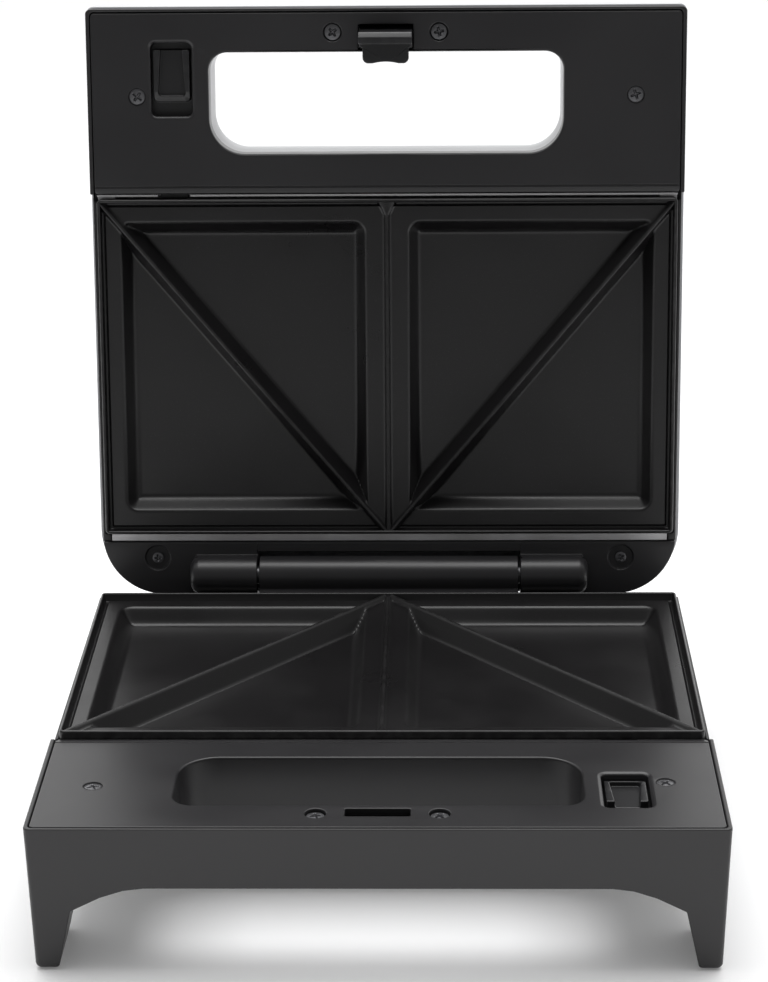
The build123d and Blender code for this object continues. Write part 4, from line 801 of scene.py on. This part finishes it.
@dataclass
class CastPlate:
    """Cast cooking plate: rim, groove, two sloped pockets, ridges and a middle bead."""

    half_width: float = 124.6
    front_y: float = 80.7
    rear_y: float = 228.0
    corner: float = 2.0
    inner_corner: float = 0.6
    corner_steps: int = 8
    bottom_z: float = 54.5
    wall: float = 2.0

    rim_top: float = 60.8
    rim_width: float = 1.5
    rim_shoulder: tuple[Plan, ...] = ((0.0, 0.7), (0.12, 0.35), (0.32, 0.12), (0.6, 0.0))
    groove_end: float = 3.6
    groove_depth: float = 1.0
    groove_foot: tuple[Plan, ...] = ((0.1, 0.5), (0.3, 0.15), (0.6, 0.0))
    groove_lean: float = 0.35
    groove_lip: Plan = (0.25, 0.1)

    land_z: float = 58.0
    pocket_x: Plan = (9.2, 115.0)
    pocket_y: Plan = (91.0, 217.9)
    pocket_corner: float = 5.0
    pocket_depth: float = 7.0
    pocket_slope: float = 4.5
    edge_round: float = 0.7
    floor_round: float = 2.0

    ridge_outer: Plan = (122.0, 84.0)
    ridge_inner: Plan = (1.6, 226.5)
    ridge_height: float = 2.2
    ridge_half: float = 0.45
    ridge_foot: float = 4.8
    ridge_round: float = 0.3
    ridge_blend: float = 0.8
    crown: float = 0.1
    bead_height: float = 1.8
    bead_half: float = 0.8
    bead_steepness: float = 2.4
    bead_blend: float = 0.5
    flare_half: float = 3.2
    flare_length: float = 7.0

    crossing_sink: float = 0.02
    crossing_depth: float = 0.5
    crossing_overlap: float = 0.5
    crossing_shoulder: Plan = (0.15, 0.32)
    crossing_crown: Plan = (0.7, 0.06)
    outer_crossing: Plan = (-2.0, 6.2)
    inner_crossing: Plan = (0.3, 4.4)

    pip_x: float = 80.0
    pip_half: float = 5.0
    pip_y: Plan = (-1.0, 0.5)
    pip_z: Plan = (0.3, 1.8)
    tab_x: Plan = (86.4, 96.4)
    tab_front: float = 78.8
    tab_inset: Plan = (0.6, 4.0)
    tab_z: Plan = (52.9, 54.0)
    tab_post_top: float = 56.4

    columns: int = 180
    under_columns: int = 44
    row_gap: float = 0.1
    rows_before: int = 4
    rows_after: int = 8
    sharp_angle: float = 50.0

    def rim_profile(self) -> list[Plan]:
        """Returns (inset, z) points from the skirt's foot, over the rim, to the land."""
        low = self.land_z - self.groove_depth
        wide, end = self.rim_width, self.groove_end
        lip_inset, lip_fall = self.groove_lip
        outer = [(inset, self.rim_top - fall) for inset, fall in self.rim_shoulder]
        inner = [(wide - inset, z) for inset, z in reversed(outer)]
        foot = [(wide + inset, low + rise) for inset, rise in self.groove_foot]
        far = end - self.groove_lean
        climb = [(far - inset, low + rise) for inset, rise in reversed(self.groove_foot)]
        lip = [(end - lip_inset, self.land_z - lip_fall), (end, self.land_z)]
        return [(0.0, self.bottom_z)] + outer + inner + foot + climb + lip

    def loop(self, inset: float) -> list[Plan]:
        """Draws the rounded outline, always with the same number of points.

        Args:
            inset: How far it lies inside the plate's outline.

        Returns:
            Its points in plan.
        """
        radius = max(self.corner - inset, self.inner_corner)
        half = self.half_width - inset
        y0, y1 = self.front_y + inset, self.rear_y - inset
        centres = [
            (half - radius, y1 - radius, 0.0), (-half + radius, y1 - radius, 90.0),
            (-half + radius, y0 + radius, 180.0), (half - radius, y0 + radius, 270.0),
        ]
        points = []
        for cx, cy, start in centres:
            for step in range(self.corner_steps + 1):
                turn = math.radians(start + 90.0 * step / self.corner_steps)
                points.append((cx + radius * math.cos(turn), cy + radius * math.sin(turn)))
        return points

    @property
    def steepness(self) -> float:
        """Fall per millimetre of the ridge's flanks."""
        return (self.pocket_depth + self.ridge_height) / (self.ridge_foot - self.ridge_half)

    @property
    def ridge_along(self) -> Plan:
        """Unit direction of the ridge in plan, from its outer end to its inner one."""
        (ax, ay), (bx, by) = self.ridge_outer, self.ridge_inner
        length = math.hypot(bx - ax, by - ay)
        return (bx - ax) / length, (by - ay) / length

    def ridge_distance(self, x: np.ndarray, y: np.ndarray) -> np.ndarray:
        """Returns the distance in plan from the ridge's middle line."""
        (ax, ay), (into_x, into_y) = self.ridge_outer, self.ridge_along
        return np.abs((x - ax) * into_y - (y - ay) * into_x)

    def pocket_fall(self, side: np.ndarray, y: np.ndarray) -> np.ndarray:
        """Works out the pocket's depth, with its edges and floor rounded.

        Args:
            side: Distances from the plate's middle.
            y: How far back the points lie.

        Returns:
            How far the top face lies under the land.
        """
        mid_x, mid_y = sum(self.pocket_x) / 2, sum(self.pocket_y) / 2
        half_x = (self.pocket_x[1] - self.pocket_x[0]) / 2 - self.pocket_corner
        half_y = (self.pocket_y[1] - self.pocket_y[0]) / 2 - self.pocket_corner
        dx, dy = np.abs(side - mid_x) - half_x, np.abs(y - mid_y) - half_y
        outside = np.hypot(np.maximum(dx, 0.0), np.maximum(dy, 0.0))
        depth = self.pocket_corner - outside - np.minimum(np.maximum(dx, dy), 0.0)
        fall = smooth_max(depth * self.pocket_depth / self.pocket_slope, 0.0, self.edge_round)
        return -smooth_max(-fall, -self.pocket_depth, self.floor_round)

    def bead_half_at(self, y: np.ndarray | float) -> np.ndarray | float:
        """Returns half the middle bead's width on top, wider where it meets the front rim."""
        along = (y - self.front_y - self.rim_width) / self.flare_length
        return np.maximum(self.flare_half * (1.0 - along), self.bead_half)

    def height(self, x: np.ndarray, y: np.ndarray) -> np.ndarray:
        """Works out the top face, with cast rounding throughout.

        Args:
            x: The plan points' x.
            y: The plan points' y.

        Returns:
            The face's z over each point.
        """
        side = np.abs(x)
        surface = self.land_z - self.pocket_fall(side, y)
        distance = self.ridge_distance(side, y)
        drop = np.maximum(distance - self.ridge_half, 0.0) * self.steepness
        crown = self.crown * np.minimum(distance / self.ridge_half, 1.0) ** 2
        ridge = self.land_z + self.ridge_height - smooth_max(drop, 0.0, self.ridge_round) - crown
        surface = smooth_max(surface, ridge, self.ridge_blend)
        half = self.bead_half_at(y)
        bead_drop = np.maximum(side - half, 0.0) * self.bead_steepness
        bead_drop = bead_drop + self.crown * np.minimum(side / half, 1.0) ** 2
        return smooth_max(surface, self.land_z + self.bead_height - bead_drop, self.bead_blend)

    def build(self, name: str, place: Place, body: str, node: str) -> None:
        """Builds one plate.

        Args:
            name: The piece's name.
            place: Base or mirror twin.
            body: The body it rides on.
            node: The construction node it stands for.
        """
        sketch = Sketch()
        self.add_rim(sketch)
        for sign in (1.0, -1.0):
            self.add_field(sketch, sign)
        self.add_groove_crossings(sketch)
        self.add_holders(sketch)
        add_piece(name, sketch.mesh(name, place, self.sharp_angle), Finish.PLATE, body, [node])

    def add_rim(self, sketch: Sketch) -> None:
        """Sweeps the rim and groove profile round the plate, with its underside."""
        under = self.land_z - self.wall
        inner_skirt = [(self.groove_end, under), (self.rim_width, under), (self.rim_width, self.bottom_z)]
        profile = inner_skirt + self.rim_profile()
        sketch.add_rings([[(x, y, z) for x, y in self.loop(inset)] for inset, z in profile])

    def add_field(self, sketch: Sketch, sign: float) -> None:
        """Lays the top face and the coarser underside inside the groove, for one half of the plate.

        The grid's cells have the ridge's slope, so that the ridge runs along their diagonals.

        Args:
            sketch: Where the faces go.
            sign: 1 for the half on the right, -1 for the left.
        """
        (ax, ay), (bx, by) = self.ridge_outer, self.ridge_inner
        slope = (by - ay) / (ax - bx)
        low, high = self.front_y + self.groove_end, self.rear_y - self.groove_end
        for columns, thickness in ((self.columns, 0.0), (self.under_columns, self.wall)):
            step = (self.half_width - self.groove_end) / columns
            rows = np.arange(-self.rows_before, int(ax / step) + self.rows_after)
            ys = ay + (ax - rows * step) * slope
            ys = np.sort(ys[(ys > low + self.row_gap) & (ys < high - self.row_gap)])
            grid_x, grid_y = np.meshgrid(np.arange(columns + 1) * step, np.concatenate([[low], ys, [high]]))
            level = self.height(grid_x, grid_y)
            if thickness:
                level = np.minimum(level, self.land_z) - thickness
            flat = np.stack([grid_x * sign, grid_y, level], axis=-1).reshape(-1, 3)
            faces = []
            for row in range(len(grid_x) - 1):
                for column in range(columns):
                    a = row * (columns + 1) + column
                    b, c, d = a + 1, a + columns + 2, a + columns + 1
                    faces += [(b, c, d), (a, b, d)]
            sketch.add(list(map(tuple, flat)), faces)

    def add_groove_crossings(self, sketch: Sketch) -> None:
        """Carries the ridges and the bead over the groove to the rim."""
        (ax, ay), (bx, by) = self.ridge_outer, self.ridge_inner
        into_x, into_y = self.ridge_along
        crest = self.land_z + self.ridge_height - self.crossing_sink
        thin = (self.ridge_half, self.ridge_half)
        for sign in (1.0, -1.0):
            shift, length = self.outer_crossing
            outer = (sign * (ax + shift * into_x), ay + shift * into_y)
            self.add_bar(sketch, outer, (sign * into_x, into_y), length, crest, thin)
            shift, length = self.inner_crossing
            inner = (sign * (bx + shift * into_x), by + shift * into_y)
            self.add_bar(sketch, inner, (-sign * into_x, -into_y), length, crest, thin)
        bead = self.land_z + self.bead_height - self.crossing_sink
        reach = self.groove_end - self.rim_width + self.crossing_overlap
        front, rear = self.front_y + self.rim_width, self.rear_y - self.rim_width
        flare = (self.flare_half, float(self.bead_half_at(front + reach)))
        self.add_bar(sketch, (0.0, front), (0.0, 1.0), reach, bead, flare)
        self.add_bar(sketch, (0.0, rear), (0.0, -1.0), reach, bead, (self.bead_half, self.bead_half))

    def add_bar(
        self, sketch: Sketch, start: Plan, along: Plan, length: float, crest: float, halves: Plan
    ) -> None:
        """Adds a short bar with the ridge's section.

        Args:
            sketch: Where the faces go.
            start: Plan point of one end.
            along: Unit direction in plan.
            length: The bar's length.
            crest: Top level.
            halves: Half its width on top, at its start and at its end.
        """
        foot = self.land_z - self.groove_depth - self.crossing_depth
        spread = (crest - foot) / self.steepness
        shoulder, shoulder_fall = self.crossing_shoulder
        crown_share, crown_fall = self.crossing_crown
        points = []
        for distance, wide in zip((0.0, length), halves):
            section = [
                (-wide - spread, foot), (-wide - shoulder, crest - shoulder_fall),
                (-wide * crown_share, crest - crown_fall), (0.0, crest),
            ]
            section += [(-offset, level) for offset, level in reversed(section[:-1])]
            for offset, level in section:
                x = start[0] + along[0] * distance - along[1] * offset
                y = start[1] + along[1] * distance + along[0] * offset
                points.append((x, y, level))
        count = len(section)
        sketch.add(points, [(i, i + 1, count + i + 1, count + i) for i in range(count - 1)])

    def add_holders(self, sketch: Sketch) -> None:
        """Adds the rear pips and the front tab that the catch holds."""
        pip_y = (self.rear_y + self.pip_y[0], self.rear_y + self.pip_y[1])
        pip_z = (self.bottom_z + self.pip_z[0], self.bottom_z + self.pip_z[1])
        for middle in (-self.pip_x, self.pip_x):
            sketch.add_block((middle - self.pip_half, middle + self.pip_half), pip_y, pip_z)
        post_front, rear = (self.front_y + inset for inset in self.tab_inset)
        sketch.add_block(self.tab_x, (self.tab_front, rear), self.tab_z)
        sketch.add_block(self.tab_x, (post_front, rear), (self.tab_z[0], self.tab_post_top))


# ------------------------------------------------------------------ shells and small pieces
@dataclass
class Shells:
    """Moulded shells and covers, whose construction shapes only need their edges rounded."""

    large: Softening = Softening(0.45, 3)
    fine: Softening = Softening(0.25, 2)
    large_nodes: tuple[str, ...] = (
        "base_housing", "lid_outer_cover", "lid_frame", "base_front_cover", "lid_front_cover",
        "base_rear_cover", "lid_rear_cover", "latch", "base_release_button", "lid_release_button",
    )
    fine_nodes: tuple[str, ...] = ("bottom_cover", "cord_inlet_bush", "rubber_feet", "terminal_block")

    def build(self) -> None:
        """Builds every shell."""
        for node in self.large_nodes:
            self.large.soften(node)
        for node in self.fine_nodes:
            self.fine.soften(node)


@dataclass(frozen=True)
class CrossScrew:
    """Cross-recess screw: domed head, tapered cross and ribbed shank, drawn head up at the origin.

    Attributes:
        head: The head's radius.
        head_height: The head's height, to the shank's start.
        shank: The shank's radius.
        length: The shank's length.
        arm: Reach of the cross's arms, as a share of the head's radius.
        slot: Half the arms' width.
        centre: Reach of the sloped middle of the cross, as a share of the head's radius.
        slot_taper: Widening of the arms in the middle, and what they lose toward the edge.
        edge_drops: How far the head's edge lies under the dome, countersunk and not.
    """

    head: float
    head_height: float
    shank: float
    length: float
    countersunk: bool = False
    dome: float = 0.25
    dome_power: float = 2.5
    arm: float = 0.66
    slot: float = 0.55
    slot_taper: Plan = (1.15, 0.3)
    slot_steepness: float = 3.0
    arm_steepness: float = 1.6
    centre: float = 0.36
    centre_steepness: float = 2.0
    recess: float = 1.15
    recess_taper: float = 0.25
    edge_drops: Plan = (0.12, 0.15)
    under_round: float = 0.1
    under_inset: Plan = (0.08, 0.2)
    spokes: int = 96
    rings: int = 26
    pitch: float = 0.9
    thread_turn: Plan = (0.4, 0.5)
    root: float = 0.8
    tip: float = 0.4
    tip_height: float = 0.1
    sharp_angle: float = 32.0

    def face_level(self, x: float, y: float) -> float:
        """Works out the head's top face, with its dome and cross.

        Args:
            x: The plan point's x.
            y: The plan point's y.

        Returns:
            The face's level there, below zero.
        """
        radius = min(math.hypot(x, y) / self.head, 1.0)
        along, across = max(abs(x), abs(y)), min(abs(x), abs(y))
        widest, loss = self.slot_taper
        side = (self.slot * (widest - loss * along / self.head) - across) * self.slot_steepness
        end = (self.arm * self.head - along) * self.arm_steepness
        middle = (self.centre * self.head - along - across) * self.centre_steepness
        deep = min(max(min(side, end), middle, 0.0), self.recess - self.recess_taper * radius)
        return -self.dome * radius ** self.dome_power - deep

    def outline(self) -> list[Plan]:
        """Returns (radius, z) points from the head's edge down to the shank's tip."""
        under = -self.head_height
        end = under - self.length
        sunk_drop, plain_drop = self.edge_drops
        if self.countersunk:
            points = [(self.head, -self.dome - sunk_drop)]
        else:
            upper, lower = self.under_inset
            points = [
                (self.head, -self.dome - plain_drop),
                (self.head - upper, under + self.under_round), (self.head - lower, under),
            ]
        points.append((self.shank, under))
        for turn in range(int(self.length / self.pitch)):
            root_z, crest_z = (under - (turn + share) * self.pitch for share in self.thread_turn)
            points += [(self.shank * self.root, root_z), (self.shank, crest_z)]
        return points + [
            (self.shank * self.root, end + self.tip_height), (self.shank * self.tip, end), (0.0, end),
        ]

    def add(self, sketch: Sketch, place: Point, turn: float) -> None:
        """Adds one screw.

        Args:
            sketch: Where the faces go.
            place: Middle of the head's top, in drawing millimetres.
            turn: How far the cross is turned, in degrees.
        """
        face = [(self.head * ring / self.rings, None) for ring in range(self.rings + 1)]
        rings = []
        for radius, level in face + self.outline():
            ring = []
            for spoke in range(self.spokes):
                angle = 2.0 * math.pi * spoke / self.spokes
                turned = angle + math.radians(turn)
                if level is None:
                    z = self.face_level(radius * math.cos(angle), radius * math.sin(angle))
                else:
                    z = level
                x, y = radius * math.cos(turned), radius * math.sin(turned)
                ring.append((place[0] + x, place[1] + y, place[2] + z))
            rings.append(ring)
        sketch.add_rings(rings)


@dataclass(frozen=True)
class ScrewPair:
    """Two equal screws, one on each side of the toaster's middle.

    Attributes:
        node: The construction node that they stand for.
        screw: Their shape.
        at: Their distance from the middle and the level of their heads.
        y: How far back each lies.
        place: Which half of the toaster they are drawn for.
        turns: How far each cross is turned, in degrees.
    """

    node: str
    screw: CrossScrew
    at: Plan
    y: Plan
    place: Place
    turns: Plan

    def build(self) -> None:
        """Builds the pair in place of its construction node."""
        sketch = Sketch()
        x, top = self.at
        for side, y, turn in zip((-x, x), self.y, self.turns):
            self.screw.add(sketch, (side, y, top), turn)
        mesh = sketch.mesh(self.node, self.place, self.screw.sharp_angle)
        add_piece(f"{self.node}_crossed", mesh, Finish.SCREW, body_of(self.node), [self.node])


@dataclass
class Screws:
    """The screws that can be seen from above and behind."""

    cover: CrossScrew = CrossScrew(3.5, 2.0, 1.5, 14.0, countersunk=True)
    well: CrossScrew = CrossScrew(3.3, 1.5, 1.25, 11.8, slot=0.6, recess=1.3)
    rear: CrossScrew = CrossScrew(2.4, 1.5, 1.25, 8.0, slot=0.45, recess=1.0)
    rear_sunk: CrossScrew = CrossScrew(2.4, 1.5, 1.25, 8.0, countersunk=True, slot=0.45, recess=1.0)
    cover_at: Plan = (106.2, 58.2)
    base_cover_y: Plan = (36.4, 39.9)
    lid_cover_y: Plan = (37.0, 37.0)
    well_at: Plan = (22.6, 57.5)
    base_well_y: Plan = (13.4, 13.4)
    lid_well_y: Plan = (10.2, 10.2)
    base_rear_at: Plan = (102.0, DRAWING.deck_top)
    lid_rear_at: Plan = (102.0, DRAWING.cover_top)
    rear_y: Plan = (239.2, 239.2)

    def pairs(self) -> list[ScrewPair]:
        """Returns every pair, each cross turned as its driver left it."""
        base, twin = Place.BASE, Place.TWIN
        return [
            ScrewPair("base_cover_screws", self.cover, self.cover_at, self.base_cover_y, base, (20.0, 47.0)),
            ScrewPair("lid_cover_screws", self.cover, self.cover_at, self.lid_cover_y, twin, (20.0, 52.0)),
            ScrewPair("base_keeper_screws", self.well, self.well_at, self.base_well_y, base, (12.0, 38.0)),
            ScrewPair("lid_latch_screws", self.well, self.well_at, self.lid_well_y, twin, (12.0, 38.0)),
            ScrewPair("base_rear_screws", self.rear_sunk, self.base_rear_at, self.rear_y, base, (30.0, 5.0)),
            ScrewPair("lid_rear_screws", self.rear, self.lid_rear_at, self.rear_y, twin, (30.0, 5.0)),
        ]

    def build(self) -> None:
        """Builds every pair."""
        for pair in self.pairs():
            pair.build()


@dataclass
class Inner:
    """Construction nodes whose own shapes stay, dressed with their finishes; the hinge pins get a dark finish as
    painted shade.
    """

    # Painted shade: the hinge pins take the dark screw steel in place of their own finish, to stand for the dark
    # gap between knuckle and barrel.
    painted_shade_nodes: tuple[str, ...] = ("hinge_pins",)

    def dress(self) -> None:
        """Gives every construction node its finish; the hinge pins get the dark screw steel as painted shade."""
        for name, node in frame["nodes"].items():
            finish = Finish.SCREW if name in self.painted_shade_nodes else finish_of(name)
            material = finish.material()
            for slot in node.material_slots:
                slot.material = material
            if not node.material_slots:
                node.data.materials.append(material)


# ------------------------------------------------------------------ studio
@dataclass(frozen=True)
class SoftLight:
    """A soft rectangular light.

    Attributes:
        name: The light's name.
        place: Where it stands, in metres.
        aim: What it points at, in metres.
        size: Its width and height in metres.
        power: Its power in watts.
    """

    name: str
    place: Point
    aim: Point
    size: Plan
    power: float

    def build(self) -> None:
        """Adds the light."""
        data = bpy.data.lights.new(self.name, "AREA")
        data.shape = "RECTANGLE"
        data.size, data.size_y = self.size
        data.energy = self.power
        light = bpy.data.objects.new(self.name, data)
        bpy.context.scene.collection.objects.link(light)
        light.location = self.place
        light.rotation_mode = "QUATERNION"
        light.rotation_quaternion = (Vector(self.aim) - Vector(self.place)).to_track_quat("-Z", "Y")


@dataclass
class Studio:
    """Pale floor, soft light and the photograph's camera."""

    focal_pixels: float = 2823.278
    frame_width: int = 768
    frame_height: int = 982
    sensor: float = 36.0
    clip: Plan = (0.01, 50.0)
    camera_point: Point = (24.523, -914.439, 506.893)
    pitch: float = 19.277
    yaw: float = -1.300
    roll: float = -0.547

    floor_reach: float = 6.0
    floor_front: float = -1.7
    floor_glow: float = 0.12
    floor_roughness: float = 0.55
    floor_tones: tuple[Colour, Colour] = ((0.86, 0.86, 0.865), (0.88, 0.88, 0.885))
    floor_clouds: Pattern = Pattern(3.0, 2.0)

    dim: float = 0.19
    bright: float = 1.3
    back_share: float = 0.9
    rise_span: Plan = (0.3, 1.0)
    overhead: SoftLight = SoftLight("overhead", (0.0, 0.25, 1.6), (0.0, 0.05, 0.1), (1.6, 1.2), 20.0)

    def camera(self) -> None:
        """Sets the camera where the photograph was taken from."""
        pitch, yaw, roll = (math.radians(angle) for angle in (self.pitch, self.yaw, self.roll))
        level = math.cos(pitch)
        ahead = Vector((math.sin(yaw) * level, math.cos(yaw) * level, -math.sin(pitch)))
        right = Vector((math.cos(yaw), -math.sin(yaw), 0.0))
        up = right.cross(ahead)
        turned_right = right * math.cos(roll) + up * math.sin(roll)
        turned_up = up * math.cos(roll) - right * math.sin(roll)
        data = bpy.data.cameras.new("photograph_view")
        data.sensor_width = self.sensor
        data.lens = self.focal_pixels * self.sensor / max(self.frame_width, self.frame_height)
        data.clip_start, data.clip_end = self.clip
        camera = bpy.data.objects.new("photograph_view", data)
        bpy.context.scene.collection.objects.link(camera)
        turn = Matrix((turned_right, turned_up, -ahead)).transposed().to_4x4()
        stand = Place.BASE.matrix() @ Vector(self.camera_point)
        camera.matrix_world = Matrix.Translation(stand) @ turn
        bpy.context.scene.camera = camera

    def floor(self) -> None:
        """Lays the pale floor."""
        mesh = bpy.data.meshes.new("floor")
        near, reach = self.floor_front, self.floor_reach
        corners = [(-reach, near, 0), (reach, near, 0), (reach, reach, 0), (-reach, reach, 0)]
        mesh.from_pydata(corners, [], [(0, 1, 2, 3)])
        floor = bpy.data.objects.new("floor", mesh)
        bpy.context.scene.collection.objects.link(floor)
        material = blank_material("pale_floor")
        tree, shader = material.node_tree, shader_of(material)
        shader.inputs["Roughness"].default_value = self.floor_roughness
        shader.inputs["Emission Color"].default_value = WHITE
        shader.inputs["Emission Strength"].default_value = self.floor_glow
        colour = mix_colour(tree, self.floor_clouds.ramped(tree), *self.floor_tones)
        wire(tree, colour, shader.inputs["Base Color"])
        mesh.materials.append(material)

    def sky(self) -> None:
        """Makes the white surroundings, bright behind and overhead, dim at the sides and the front."""
        world = bpy.data.worlds.new("studio")
        bpy.context.scene.world = world
        world.use_nodes = True
        tree = world.node_tree
        background = tree.nodes["Background"]
        coordinates = tree.nodes.new("ShaderNodeTexCoord")
        split = tree.nodes.new("ShaderNodeSeparateXYZ")
        wire(tree, coordinates.outputs["Generated"], split.inputs["Vector"])
        rise = math_node(tree, "MULTIPLY_ADD", split.outputs["Y"], self.back_share, split.outputs["Z"])
        wire(tree, ramp(tree, rise, self.rise_span, self.dim, self.bright), background.inputs["Strength"])
        background.inputs["Color"].default_value = WHITE

    def build(self) -> None:
        """Sets up camera, floor, surroundings and light, with plain tone mapping."""
        self.camera()
        self.floor()
        self.sky()
        self.overhead.build()
        bpy.context.scene.view_settings.view_transform = "Standard"


def main() -> None:
    """Builds the toaster's looks in order."""
    logging.basicConfig(level=logging.INFO, format="%(message)s")
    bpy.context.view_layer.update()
    Studio().build()
    Inner().dress()
    Shells().build()
    Screws().build()
    CastPlate().build("lower_cooking_plate", Place.BASE, "base_plate", "base_plate")
    CastPlate().build("upper_cooking_plate", Place.TWIN, "lid_plate", "lid_plate")
    bpy.context.view_layer.update()


if __name__ == "__main__":
    main()
